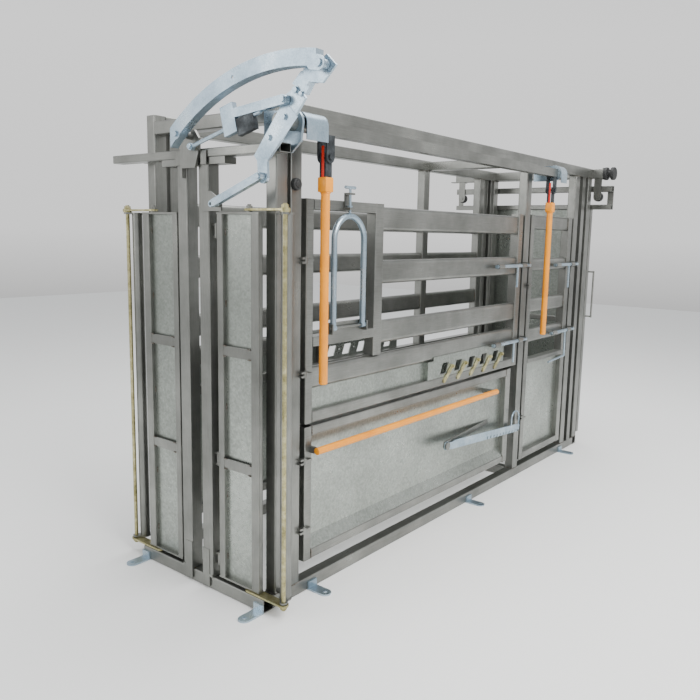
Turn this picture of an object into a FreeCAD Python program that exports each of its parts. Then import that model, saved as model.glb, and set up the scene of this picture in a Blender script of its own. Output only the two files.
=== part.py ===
"""Cattle squeeze chute: welded tube crush with a folding head gate, side gates and a sliding rear gate.

Millimetres, +Z up.  The head gate is at the -Y end, the operator stands on the +X ("near") side.
Shapes are drawn with x from the centre line and y from the front face of the base, then moved so
that the origin lies on the ground in the middle of the whole footprint.
"""
import FreeCAD, Part
import math
import os

V = FreeCAD.Vector
os.makedirs("parts", exist_ok=True)

# ---------------------------------------------------------------- driving dimensions
WIDTH = 850.0              # outside width over the base rails
LENGTH = 3434.0            # outside length of the base
HEIGHT = 2140.0            # top of the top rails
ORIGIN_Y = 1692.0  # y of the part's origin, from the front face of the base
WALL = 4.0                 # wall of the structural tube
SHEET = 2.0                # galvanised sheet
SEAT = 0.3                 # gap between moving pieces that face each other
RUN = 0.1                  # radial running clearance of pins and journals

BASE_TUBE = 60.0           # square base tube
POST_X = 60.0              # post section across the chute
POST_Y = 70.0              # post section along the chute
FRONT_POST = 66.0          # the same for the front posts
POST_SETBACK = 72.0  # front face of the base to the first post
POST_GAP = 18.0  # gap between the two front posts of a side
TOP_TUBE_H = 70.0          # height of the top rail section
MID_POST_Y = 2330.0        # front face of the middle posts
REAR_POST_Y = 3130.0  # front face of the first rear posts
END_POST_Y = LENGTH - POST_Y
CHANNEL_Y = 3252.0  # slip channels between the rear posts
CHANNEL_D = 56.0

# head gate: link, panel and neck bar make an equal-armed fold on each side
ARM = 202.0  # pivot rod to panel pin, and panel pin to neck hinge
ROD_X = 522.0              # pivot rod from the centre line
FOLD_Y = 24.0              # plane of the three vertical axes of a fold
ROD_D = 18.0
PIPE_D = 48.3
PIPE_OFFSET = (-24.0, 36.0)  # hinge pipe axis from the pivot rod
NECK_GAP = 76.0  # between the neck bars, closed
NECK_W = 65.0
NECK_Y0 = -6.0
NECK_D = 62.0
NECK_TOP = 1893.0
NECK_WALL = 5.0
PANEL_OUT = 387.0          # outer edge of the panel from the centre line
PANEL_Y0 = 10.0  # front face of the panel frame
PANEL_T = 28.0
PANEL_INNER = 36.0         # inner and outer uprights of the panel
PANEL_OUTER = 47.0
PANEL_Z0 = 72.0
PANEL_Z1 = 1697.0
PANEL_RIBS = (590.0, 1090.0)
RIB_H = 45.0
LINK_T = 8.0
LINK_W = 44.0
LINK_TOP_Z = 1703.0
LINK_LOW_Z = 62.0
LUG_T = 8.0
PIN_D = 16.0

# slide beam over the neck bars
BEAM_X0 = -576.0
BEAM_X1 = 525.0
BEAM_Z0 = 1922.0
BEAM_Z1 = 1958.0
BEAM_Y0 = -10.0
BEAM_Y1 = 50.0
BRACKET_Y = (-24.0, -12.0)  # plate on the far neck bar, in front of the beam
CARRIAGE_REACH = 105.0

# head gate lever and torque tube
TUBE_X = 525.0  # torque tube axis
TUBE_Z = 2035.0
TUBE_S = 50.0
TUBE_Y0 = -34.0
TUBE_Y1 = 2550.0
JOURNAL_D = 60.0
REAR_STUB_D = 40.0
FRONT_BEARING = (62.0, 72.0)   # bearing plates along the tube
REAR_BEARING = (2500.0, 2508.0)
JOURNAL_END = 215.0
COVERS = ((90.0, 215.0), (2510.0, 2600.0))
COVER_R = 48.0
LEVER_Y = -34.0  # front face of the lever plate
LEVER_T = 12.0
LEVER_OUTLINE = ((555, 2085), (581, 2122), (641, 2145), (676, 2099), (545, 1949), (452, 1858), (410, 1910))
JOGGLE_OUTLINE = (
    (662, 2190), (735, 2200), (797, 2230), (840, 2190),
    (780, 2136), (714, 2147), (685, 2108), (620, 2153),
)
JOGGLE_Y = -58.0
JOGGLE_T = 10.0
LOWER_LINK_Y = (-60.0, -36.0)
LOCK_Y = (-59.0, -36.0)
TOP_PIVOT = (797.0, 2194.0)
LOW_PIVOT_ANGLE = 251.7    # lower pivot of the lever, from the tube axis
OPEN_ANGLE = 71.3          # turn of the lever from closed to open
OPEN_TRAVEL = 281.7        # outward travel of each neck bar
LOCK_PIVOT = (586.0, 2100.0)
ARM_END = (17.0, 2010.0)  # curved arm bolt on the far neck bar
LINK_END = (179.0, 1728.0)  # lower link bolt on the near neck bar
ROD_END = (50.0, 1962.0)  # friction rod bolt on the far neck bar
ARC_CENTRE = (615.0, 1238.0)   # curved arm
ARC_INNER = 960.0
ARC_OUTER = 1019.0
LOCK_LIFT = 40.0
LOCK_REACH = 262.0         # lock pivot to the box at the arm's free end
CURVED_ARM_Y = (-100.0, -60.0)
FRICTION_ROD_D = 16.0
FRICTION_ROD_Y = -47.0

# hanging handles
HANDLE_Y = (255.0, 2468.0)
HANDLE_PIVOT_Z = 1925.0
HANDLE_D = 38.0
HANDLE_LOW_Z = 980.0
SLEEVE = 48.0
SLEEVE_Z = (1785.0, 1845.0)
CLEVIS_GAP = 40.0
CLEVIS_T = 6.0
CLEVIS_W = 50.0

# near side gate, lower door and rear side gate
HINGE_X = 437.0            # vertical gate hinges, from the centre line
HINGE_Y = 237.0
VET_HINGE_Y = 2412.0
GATE_Y0 = 252.0
GATE_Y1 = 2300.0
GATE_UP = 48.0             # width of the gate uprights along the chute
SIDE_T = 60.0              # thickness of gates and side frames
OVAL_H = 115.0
OVAL_T = 42.0
RAILS_Z = (1636.0, 1380.0, 1085.0)   # undersides of the three upper oval rails
LOW_OVAL_Z = 935.0
LOW_OVAL_H = 100.0
SLOT_PLATE = (416.0, 422.0)   # slotted plate, from the centre line
STIFFENER_W = 60.0         # upright between the upper sheet and the slotted plate
MID_RAIL_Z = (785.0, 835.0)
GATE_TOP_Z = 1763.0
NECK_FRAME_Y = 800.0       # rear edge of the neck opening frame
NECK_FRAME_S = 46.0
NECK_FRAME_Z = 1125.0
DOOR_Z = (145.0, 770.0)
DOOR_Y1 = 2230.0
DOOR_RAIL = 45.0
LIP_Z = 245.0
SLOT_Y0 = 1291.0  # slotted plate for the rump bar
SLOT_Y1 = 2118.0
SLOT_PITCH = 149.5
SLOT_COUNT = 5
SLOT_Z = (848.0, 912.0)
SLOT_W = 66.0
SLOT_LEAN = 26.0
SLOT_FIRST = 1393.0
PAWL_BOLT_Z = 885.0
VET_Y0 = 2425.0
VET_Y1 = 3100.0
VET_RAILS_Z = ((1673.0, 1767.0), (1397.0, 1481.0), (1114.0, 1214.0), (910.0, 1005.0))
VET_LOW_Z = 100.0
VET_SHEET_TOP = 799.0
GRAB_BAR_D = 33.0
GRAB_BAR_Z = 665.0
GRAB_BAR_Y = (280.0, 1960.0)
GRAB_BAR_X = 470.0
BOLT_D = 22.0
BOLT_CASE_D = 30.0
BOLT_X = 455.0
BOLTS = {                  # slam bolts: y of the case, y of the bolt tip, height
    "side_bolt_upper": (1910.0, 2365.0, 1440.0),
    "side_bolt_lower": (1910.0, 2365.0, 955.0),
    "vet_bolt_upper": (2766.0, 3165.0, 1433.0),
    "vet_bolt_lower": (2766.0, 3165.0, 952.0),
}
BOLT_CASE_L = 70.0         # each bolt runs in two short sleeves
BOLT_HANDLE = 0.62         # place of the handle along the bolt
SIDE_REAR_UP = 60.0        # rear upright of the side gate and of the lower door
STAY_PIVOT = (1396.0, 439.0)
STAY_X = 465.0
STAY_END_Y = 2318.0
STAY_PEG_Y = 2300.0        # peg on a plate from the middle post
STAY_PEG_D = 12.0
STAY_T = 6.0
STAY_ROOT_Y = 2010.0       # where the arm of the stay leaves the door
STAY_NOTCHES = 10
STAY_NOTCH_PITCH = 42.0
SHEET_X = 391.0            # outer face of the door sheet
STAY_RISE = -75.0  # height of the stay's rear end relative to its pivot
HOOP_Y = (394.5, 630.5)
HOOP_D = 27.0
HOOP_X = 446.0
HOOP_AXIS_Z = 1200.0
HOOP_TOP_Z = 1710.0

# rear sliding gate
TRACK_Y = (3434.0, 3494.0)
TRACK_Z = (2070.0, 2140.0)
TRACK_X = (-775.0, 497.0)
SLIDE_Y = 3449.0  # front face of the sliding gate
SLIDE_T = 38.0
SLIDE_BARS = ((1970.3, 2015.0), (1840.0, 1877.0))
SLIDE_BAR_X = (-770.0, 575.0)
SLIDE_X = (-425.0, 425.0)
SLIDE_MID_Z = 960.0
SLIDE_LOW_Z = 90.0
ROLLER_X = (-715.0, -137.0, 467.0)
ROLLER_D = 70.0
HANGER_W = 58.0
GUIDE_X = (-330.0, 372.0)

FAR, NEAR = -1, 1
HALF = WIDTH / 2
TOP_RAIL_Z = HEIGHT - TOP_TUBE_H
POST2_Y = POST_SETBACK + FRONT_POST + POST_GAP
PIN_X = ROD_X - ARM
NECK_HINGE_X = ROD_X - 2 * ARM

nodes = {}


# ---------------------------------------------------------------- shape helpers
def box(x0, x1, y0, y1, z0, z1):
    """A block between two corners."""
    return Part.makeBox(x1 - x0, y1 - y0, z1 - z0, V(x0, y0, z0))


def rod(p0, p1, d):
    """A round bar from p0 to p1."""
    a, b = V(*p0), V(*p1)
    return Part.makeCylinder(d / 2, (b - a).Length, a, b - a)


def pipe(p0, p1, d, bore):
    """A round tube from p0 to p1."""
    return rod(p0, p1, d).cut(rod(p0, p1, bore))


def rounded(w, h, r):
    """Closed rounded rectangle wire in the XY plane, centred."""
    a, b = w / 2, h / 2
    k = r * (1 - math.sqrt(0.5))
    edges = []
    corners = ((a, b, 1, 1), (-a, b, -1, 1), (-a, -b, -1, -1), (a, -b, 1, -1))
    ends = []
    for cx, cy, sx, sy in corners:
        along_x = V(cx - sx * r, cy, 0)
        along_y = V(cx, cy - sy * r, 0)
        middle = V(cx - sx * k, cy - sy * k, 0)
        first, last = (along_y, along_x) if sx * sy > 0 else (along_x, along_y)
        ends.append((first, last))
        edges.append(Part.Arc(first, middle, last).toShape())
    for i in range(4):
        start, stop = ends[i][1], ends[(i + 1) % 4][0]
        if (stop - start).Length > 1e-6:
            edges.append(Part.LineSegment(start, stop).toShape())
    return Part.Wire(Part.__sortEdges__(edges))


def tube(axis, x0, x1, y0, y1, z0, z1, wall=WALL, radius=6.0):
    """Hollow rectangular tube that fills the given box and runs along axis."""
    size = {"x": (y1 - y0, z1 - z0, x1 - x0), "y": (x1 - x0, z1 - z0, y1 - y0),
            "z": (x1 - x0, y1 - y0, z1 - z0)}[axis]
    w, h, length = size
    r = min(radius, w / 2 - 0.05, h / 2 - 0.05)
    outer = Part.Face(rounded(w, h, r)).extrude(V(0, 0, length))
    inner_r = max(r - wall, 0.5)
    inner = Part.Face(rounded(w - 2 * wall, h - 2 * wall, inner_r)).extrude(V(0, 0, length))
    body = outer.cut(inner)
    if axis == "x":
        body.rotate(V(0, 0, 0), V(1, 1, 1), 120)      # X->Y, Y->Z, Z->X
        body.translate(V(x0, (y0 + y1) / 2, (z0 + z1) / 2))
    elif axis == "y":
        body.rotate(V(0, 0, 0), V(1, 0, 0), -90)      # Z->Y
        body.translate(V((x0 + x1) / 2, y0, (z0 + z1) / 2))
    else:
        body.translate(V((x0 + x1) / 2, (y0 + y1) / 2, z0))
    return body


def plate(points, axis, low, high):
    """Flat plate: an outline of (a, b) points extruded along axis between low and high."""
    def place(a, b):
        return {"x": V(low, a, b), "y": V(a, low, b), "z": V(a, b, low)}[axis]
    wire = Part.makePolygon([place(*p) for p in points] + [place(*points[0])])
    step = high - low
    return Part.Face(wire).extrude({"x": V(step, 0, 0), "y": V(0, step, 0), "z": V(0, 0, step)}[axis])


def bar_plate(p0, p1, width, axis, low, high):
    """Flat bar with round ends whose centre line runs from p0 to p1, across the given axis."""
    (a0, b0), (a1, b1) = p0, p1
    length = math.hypot(a1 - a0, b1 - b0)
    na, nb = -(b1 - b0) / length * width / 2, (a1 - a0) / length * width / 2
    body = plate([(a0 + na, b0 + nb), (a1 + na, b1 + nb), (a1 - na, b1 - nb), (a0 - na, b0 - nb)],
                 axis, low, high)
    for a, b in (p0, p1):
        body = body.fuse(disc(a, b, width, axis, low, high))
    return body.removeSplitter()


def disc(a, b, d, axis, low, high):
    """Round boss across axis, centred on (a, b)."""
    start = {"x": (low, a, b), "y": (a, low, b), "z": (a, b, low)}[axis]
    end = {"x": (high, a, b), "y": (a, high, b), "z": (a, b, high)}[axis]
    return rod(start, end, d)


def bolt(a, b, d, axis, low, high, head=0.65, washer=True):
    """Bolt with a hex head at the low end and a washer under it, lying along axis."""
    radius = d * 0.9
    points = [(a + radius * math.cos(math.radians(60 * i)), b + radius * math.sin(math.radians(60 * i)))
              for i in range(6)]
    step = math.copysign(1, high - low)
    head_end = low + step * d * head
    lows = sorted((low, head_end))
    body = plate(points, axis, lows[0], lows[1]).fuse(disc(a, b, d, axis, min(low, high), max(low, high)))
    if washer:
        ends = sorted((head_end, head_end + step * 2.5))
        body = body.fuse(disc(a, b, 2.3 * d, axis, ends[0], ends[1]))
    return body.removeSplitter()


def bolt_on(a, b, d, axis, surface):
    """Bolt head and washer standing on a surface, towards the low end of axis."""
    return bolt(a, b, d, axis, surface - d * 0.65 - 2.5, surface)


def side(sign, x0, x1):
    """Order a pair of distances from the centre line for the near or far side."""
    return tuple(sorted((sign * x0, sign * x1)))


def fuse(shapes):
    """Join shapes into one solid."""
    first, rest = shapes[0], shapes[1:]
    return first.fuse(rest).removeSplitter() if rest else first


def mirror_x(shape):
    """Mirror a shape across the centre line."""
    return shape.mirror(V(0, 0, 0), V(1, 0, 0))


def add(name, *shapes):
    """File shapes under a node; each stays a solid of its own."""
    solids = nodes.setdefault(name, [])
    for shape in shapes:
        solids.extend(shape.Solids)


# ---------------------------------------------------------------- base, posts and top frame
def base_frame():
    inner = HALF - BASE_TUBE
    for sign in (FAR, NEAR):
        x0, x1 = side(sign, inner, HALF)
        add("base_frame", tube("y", x0, x1, BASE_TUBE, LENGTH - BASE_TUBE, 0, BASE_TUBE))
    add("base_frame",
        tube("x", -HALF, HALF, 0, BASE_TUBE, 0, BASE_TUBE),
        tube("x", -inner, inner, MID_POST_Y, MID_POST_Y + BASE_TUBE, 0, BASE_TUBE),
        tube("x", -HALF, HALF, LENGTH - BASE_TUBE, LENGTH, 0, BASE_TUBE))


def anchor_lug(x, y, dx, dy):
    """Teardrop foot plate, bolted down through its hole, that points along (dx, dy)."""
    t, width, reach = 8.0, 56.0, 84.0
    tab = bar_plate((0, 0), (reach, 0), width, "z", 0, t).cut(disc(reach, 0, 18, "z", -1, t + 1))
    tab = tab.cut(box(-width, 0, -width, width, -1, t + 1))
    riser = box(0, t, -width / 2, width / 2, 0, 40)
    lug = tab.fuse(riser).removeSplitter()
    lug.rotate(V(0, 0, 0), V(0, 0, 1), math.degrees(math.atan2(dy, dx)))
    lug.translate(V(x, y, 0))
    return lug


def anchors():
    for x in (-400.0, 400.0):
        add("anchor_lugs", anchor_lug(x, 0, 0, -1))
    for y in (306.0, 1737.0, 3123.0):
        for sign in (FAR, NEAR):
            add("anchor_lugs", anchor_lug(sign * HALF, y, sign, 0))


def posts():
    for sign in (FAR, NEAR):
        x0, x1 = side(sign, HALF - POST_X, HALF)
        add("front_posts",
            tube("z", x0, x1, POST_SETBACK, POST_SETBACK + FRONT_POST, BASE_TUBE, HEIGHT),
            tube("z", x0, x1, POST2_Y, POST2_Y + FRONT_POST, BASE_TUBE, TOP_RAIL_Z))
        for y in (MID_POST_Y, REAR_POST_Y, END_POST_Y):
            add("side_posts", tube("z", x0, x1, y, y + POST_Y, BASE_TUBE, TOP_RAIL_Z))
        web = box(*side(sign, HALF - 6, HALF), CHANNEL_Y, CHANNEL_Y + CHANNEL_D, BASE_TUBE, TOP_RAIL_Z)
        legs = [box(*side(sign, HALF - POST_X, HALF - 6), y, y + 6, BASE_TUBE, TOP_RAIL_Z)
                for y in (CHANNEL_Y, CHANNEL_Y + CHANNEL_D - 6)]
        add("side_posts", fuse([web] + legs))


def top_frame():
    inner = HALF - POST_X
    for sign in (FAR, NEAR):
        x0, x1 = side(sign, inner, HALF)
        add("top_frame", tube("y", x0, x1, POST_SETBACK + FRONT_POST, LENGTH, TOP_RAIL_Z, HEIGHT))
    add("top_frame",
        tube("x", -inner, inner, POST_SETBACK, POST_SETBACK + FRONT_POST, 2050, 2110),
        tube("x", -inner, inner, MID_POST_Y + 50, MID_POST_Y + 110, 2074, 2134),
        tube("x", -inner, inner, LENGTH - 60, LENGTH, 2072, 2136))


# ---------------------------------------------------------------- far side
def oval(x_mid, y0, y1, z0, height=OVAL_H):
    """Oval cattle rail along the chute."""
    return tube("y", x_mid - OVAL_T / 2, x_mid + OVAL_T / 2, y0, y1, z0, z0 + height,
                wall=3.0, radius=OVAL_T / 2 - 0.05)


def slot_points(i):
    """Outline of slanted slot i of the slotted plate, as (y, z) points."""
    y = SLOT_FIRST + i * SLOT_PITCH
    low, high = SLOT_Z
    return [(y - SLOT_W / 2, low), (y + SLOT_W / 2, low),
            (y + SLOT_W / 2 + SLOT_LEAN, high), (y - SLOT_W / 2 + SLOT_LEAN, high)]


def pawl_bolt_y(i):
    """Where the pawl of slot i hangs."""
    return SLOT_FIRST + i * SLOT_PITCH + SLOT_W / 2 + SLOT_LEAN + 30


def slotted_plate(x0, x1):
    body = box(x0, x1, SLOT_Y0, SLOT_Y1, MID_RAIL_Z[1], LOW_OVAL_Z + OVAL_T / 2)
    for i in range(SLOT_COUNT):
        body = body.cut(plate(slot_points(i), "x", x0 - 1, x1 + 1))
        body = body.cut(disc(pawl_bolt_y(i), PAWL_BOLT_Z, 10 + 2 * RUN, "x", x0 - 1, x1 + 1))
    return body


def upper_sheet(x_mid):
    """Upper sheet between the low oval rail and the middle rail, ahead of the slotted plate."""
    return box(x_mid - SHEET / 2, x_mid + SHEET / 2, GATE_Y0 + GATE_UP, SLOT_Y0 - STIFFENER_W,
               MID_RAIL_Z[1], LOW_OVAL_Z)


def far_side():
    mid = -(HALF - SIDE_T / 2)
    x0, x1 = side(FAR, HALF - SIDE_T, HALF)
    first, last = POST2_Y + FRONT_POST, MID_POST_Y
    for z in RAILS_Z:
        add("far_side_frame", oval(mid, first + GATE_UP, last, z))
    add("far_side_frame", oval(mid, first + GATE_UP, last, LOW_OVAL_Z, LOW_OVAL_H))
    for z in RAILS_Z:
        add("far_side_frame", oval(mid, MID_POST_Y + POST_Y, REAR_POST_Y, z))
    add("far_side_frame", oval(mid, MID_POST_Y + POST_Y, REAR_POST_Y, LOW_OVAL_Z, LOW_OVAL_H))
    add("far_side_frame",
        tube("z", x0, x1, first, first + GATE_UP, BASE_TUBE, GATE_TOP_Z),
        tube("y", x0, x1, first + GATE_UP, last, *MID_RAIL_Z),
        tube("y", x0, x1, MID_POST_Y + POST_Y, REAR_POST_Y, *MID_RAIL_Z),
        box(x0, x1, SLOT_Y0 - STIFFENER_W, SLOT_Y0, MID_RAIL_Z[1], LOW_OVAL_Z),
        tube("y", x0, x1, first + GATE_UP, last, DOOR_Z[0], DOOR_Z[0] + DOOR_RAIL),
        tube("y", x0, x1, MID_POST_Y + POST_Y, REAR_POST_Y, DOOR_Z[0], DOOR_Z[0] + DOOR_RAIL))
    plane = (mid - SHEET / 2, mid + SHEET / 2)
    add("far_side_sheets",
        upper_sheet(mid),
        box(*plane, first + GATE_UP, last, DOOR_Z[0] + DOOR_RAIL, MID_RAIL_Z[0]),
        box(*plane, MID_POST_Y + POST_Y, REAR_POST_Y, DOOR_Z[0] + DOOR_RAIL, MID_RAIL_Z[0]))
    add("far_slotted_plate", slotted_plate(-SLOT_PLATE[1], -SLOT_PLATE[0]))


# ---------------------------------------------------------------- head gate folds
def fold_fixed():
    """Hinge pipe outboard of each front post, with the lugs that hold the pivot rod."""
    px, py = ROD_X + PIPE_OFFSET[0], FOLD_Y + PIPE_OFFSET[1]
    top = LINK_TOP_Z - 6
    low = LINK_LOW_Z + LINK_T + 2
    for z0 in (top - LUG_T, low):
        lug = fuse([box(HALF, px, py + 14, py + 40, z0, z0 + LUG_T),
                    disc(px, py, 54, "z", z0, z0 + LUG_T),
                    bar_plate((px, py), (ROD_X, FOLD_Y), 34, "z", z0, z0 + LUG_T)])
        lug = lug.cut(disc(ROD_X, FOLD_Y, ROD_D + 2 * RUN, "z", z0 - 1, z0 + LUG_T + 1))
        add("hinge_pipes", lug, mirror_x(lug))
    stem = pipe((px, py, low + LUG_T), (px, py, top - LUG_T), PIPE_D, PIPE_D - 2 * WALL)
    add("hinge_pipes", stem, mirror_x(stem))


def nut(x, y, z0, z1, across):
    """Hexagon nut on a vertical bar."""
    points = [(x + across / 2 * math.cos(math.radians(60 * i)),
               y + across / 2 * math.sin(math.radians(60 * i)))
              for i in range(6)]
    return plate(points, "z", z0, z1)


def link_pieces():
    """Pivot rod with nuts, and the two flat links that turn with it."""
    top, low = LINK_TOP_Z, LINK_LOW_Z
    stem = rod((ROD_X, FOLD_Y, low - 20), (ROD_X, FOLD_Y, top + LINK_T + 20), ROD_D)
    nuts = [nut(ROD_X, FOLD_Y, low - 15, low - 3, 30),
            disc(ROD_X, FOLD_Y, 40, "z", low - 3, low),
            nut(ROD_X, FOLD_Y, top + LINK_T + 3, top + LINK_T + 15, 30),
            disc(ROD_X, FOLD_Y, 40, "z", top + LINK_T, top + LINK_T + 3),
            disc(ROD_X, FOLD_Y, 40, "z", top - 6 + SEAT, top)]
    stem = fuse([stem] + nuts)
    links = []
    for z0 in (top, low):
        flat = bar_plate((PIN_X, FOLD_Y), (ROD_X, FOLD_Y), LINK_W, "z", z0, z0 + LINK_T)
        flat = flat.cut(disc(PIN_X, FOLD_Y, PIN_D + 2 * RUN, "z", z0 - 1, z0 + LINK_T + 1))
        flat = flat.cut(disc(ROD_X, FOLD_Y, ROD_D, "z", z0 - 1, z0 + LINK_T + 1))
        links.append(flat)
    return stem, links


def panel_frame():
    """Panel between the link and the neck bar: two uprights, ribs, end plates, pins and knuckles."""
    x0, x1 = NECK_HINGE_X + PANEL_EDGE, PANEL_OUT
    y0, y1 = PANEL_Y0, PANEL_Y0 + PANEL_T
    z0, z1 = PANEL_Z0, PANEL_Z1
    pieces = [tube("z", x0, x0 + PANEL_INNER, y0, y1, z0 + END_T, z1 - END_T, wall=3),
              tube("z", x1 - PANEL_OUTER, x1, y0, y1, z0 + END_T, z1 - END_T, wall=3)]
    for z in PANEL_RIBS:
        pieces.append(box(x0 + PANEL_INNER, x1 - PANEL_OUTER, y0 + 4, y0 + 10, z, z + RIB_H))
    for low, high in ((z0, z0 + END_T), (z1 - END_T, z1)):
        pieces.append(box(x0, x1, y0, y1, low, high))
    top, low = LINK_TOP_Z, LINK_LOW_Z
    pieces += [rod((PIN_X, FOLD_Y, z1), (PIN_X, FOLD_Y, top + LINK_T + 18), PIN_D),
               disc(PIN_X, FOLD_Y, 27, "z", z1, top - SEAT),
               nut(PIN_X, FOLD_Y, top + LINK_T + SEAT, top + LINK_T + 12, 27),
               rod((PIN_X, FOLD_Y, low - 1), (PIN_X, FOLD_Y, z0), PIN_D),
               disc(PIN_X, FOLD_Y, 27, "z", low + LINK_T + SEAT, z0)]
    for z in HINGE_HEIGHTS:
        knuckle = pipe((NECK_HINGE_X, FOLD_Y, z), (NECK_HINGE_X, FOLD_Y, z + 40), 18, 10 + 2 * RUN)
        pieces.append(knuckle.fuse(box(NECK_HINGE_X + 6, x0, FOLD_Y - 3, FOLD_Y + 5, z, z + 40)))
    return fuse(pieces)


HINGE_HEIGHTS = (130.0, 600.0, 1600.0)
PANEL_EDGE = 14.0
END_T = 8.0


def panel_sheet():
    y = PANEL_Y0 + PANEL_T - 8
    x0, x1 = NECK_HINGE_X + PANEL_EDGE + PANEL_INNER, PANEL_OUT - PANEL_OUTER
    return box(x0, x1, y, y + SHEET, PANEL_Z0 + END_T, PANEL_Z1 - END_T)


def neck_bar():
    """Neck bar: foot shoe round the base tube, hinge lugs and the carriage that runs on the slide beam."""
    x0, x1 = NECK_GAP / 2, NECK_GAP / 2 + NECK_W
    y0, y1 = NECK_Y0, NECK_Y0 + NECK_D
    z0 = BASE_TUBE + 2
    back = BASE_TUBE + 1.5
    pieces = [tube("z", x0, x1, y0, y1, z0 + 13, NECK_TOP, wall=NECK_WALL, radius=7),
              box(x0, x1, y0 - 2, back + 6, z0, z0 + 13),
              box(x0, x0 + 46, y0 - 2, -1.5, 15, z0 + 130),
              box(x0, x0 + 40, back, back + 6, 15, z0),
              box(x0 - 13, x1 + CARRIAGE_REACH, y0, y1, NECK_TOP, BEAM_Z0 - 1.0)]
    pieces += [box(x1 - 35, x1, BEAM_Y0 - 6.5, BEAM_Y0 - 0.5, NECK_TOP, BEAM_Z0 + 28),
               box(x1 - 35, x1, BEAM_Y0 - 6.5, y0 + 1, NECK_TOP, NECK_TOP + 8),
               box(x0 - 13, x1 - 24, BEAM_Y1 + 0.5, BEAM_Y1 + 6.5, NECK_TOP, BEAM_Z0 + 28)]
    for z in HINGE_HEIGHTS:
        for low in (z - 10 - SEAT, z + 40 + SEAT):
            pieces.append(box(x1, NECK_HINGE_X, FOLD_Y - 8, FOLD_Y + 8, low, low + 10))
            pieces.append(disc(NECK_HINGE_X, FOLD_Y, 16, "z", low, low + 10))
        pieces.append(rod((NECK_HINGE_X, FOLD_Y, z - 12), (NECK_HINGE_X, FOLD_Y, z + 52), 10))
    return pieces


def head_gate():
    stem, links = link_pieces()
    frame = panel_frame()
    sheet = panel_sheet()
    for prefix, flip in (("near", False), ("far", True)):
        for name, shapes in (("links", [stem] + links), ("panel_frame", [frame]),
                             ("panel_sheet", [sheet])):
            add(prefix + "_" + name, *[mirror_x(s) if flip else s for s in shapes])
    lx, lz = LINK_END
    lug = plate([(60, 1701), (lx + 12, 1701), (lx + 12, lz + 14), (125, 1782), (60, 1782)],
                "y", NECK_Y0 - 8, NECK_Y0)
    stud = disc(lx, lz, 14 - 2 * RUN, "y", LOWER_LINK_Y[0] + 6, NECK_Y0 - 8)
    collar = disc(lx, lz, 24, "y", LOWER_LINK_Y[1] + SEAT, NECK_Y0 - 8)
    add("near_neck_bar", fuse(neck_bar() + [lug, stud, collar]))
    front = BRACKET_Y[1]
    bracket = plate([(-59, 1880), (40, 1880), (66, 1950), (66, 2000), (40, 2034), (-20, 2034), (-59, 2000)],
                    "y", BRACKET_Y[0], front)
    foot = box(-59, -44, front, NECK_Y0 + 2, 1840, NECK_TOP - 2)
    pad = box(-59, -44, BRACKET_Y[0], front, 1840, 1882)
    rod_eye = disc(ROD_END[0], ROD_END[1], 28, "y", FRICTION_ROD_Y + 10, BRACKET_Y[0])
    arm_eye = disc(ARM_END[0], ARM_END[1], 32, "y", CURVED_ARM_Y[1] + 10, BRACKET_Y[0])
    far = [mirror_x(fuse(neck_bar()))]
    add("far_neck_bar", fuse(far + [bracket, foot, pad, rod_eye, arm_eye]))


def slide_beam():
    """Guide beam that the neck bar carriages run on, blocked out from the front posts."""
    add("slide_beam",
        tube("x", BEAM_X0, BEAM_X1, BEAM_Y0, BEAM_Y1, BEAM_Z0, BEAM_Z1, wall=3, radius=4))
    for sign in (FAR, NEAR):
        x0, x1 = side(sign, HALF - POST_X, HALF)
        add("slide_beam", box(x0, x1, BEAM_Y1, POST_SETBACK, BEAM_Z0, BEAM_Z1))


# ---------------------------------------------------------------- lever, arms and torque tube
def low_pivot():
    """Lower pivot of the lever, set so that the lower link keeps its length as the lever opens."""
    ax, az = TUBE_X, TUBE_Z
    lx, lz = LINK_END
    a0, a1 = math.radians(LOW_PIVOT_ANGLE), math.radians(LOW_PIVOT_ANGLE + OPEN_ANGLE)
    ux, uz = ax - lx, az - lz
    vx = ax - lx - OPEN_TRAVEL
    radius = (ux * ux - vx * vx) / (2 * (vx * math.cos(a1) - ux * math.cos(a0)
                                         + uz * (math.sin(a1) - math.sin(a0))))
    return ax + radius * math.cos(a0), az + radius * math.sin(a0)


def joggle_block(a0, a1, y0, y1):
    """Block across the offset plate between two distances along it from its first bolt."""
    bx, bz = LEVER_OUTLINE[2]
    length = math.hypot(TOP_PIVOT[0] - bx, TOP_PIVOT[1] - bz)
    c, s = (TOP_PIVOT[0] - bx) / length, (TOP_PIVOT[1] - bz) / length
    corners = [(a0, -200), (a1, -200), (a1, 200), (a0, 200)]
    return plate([(bx + a * c - b * s, bz + a * s + b * c) for a, b in corners], "y", y0, y1)


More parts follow.
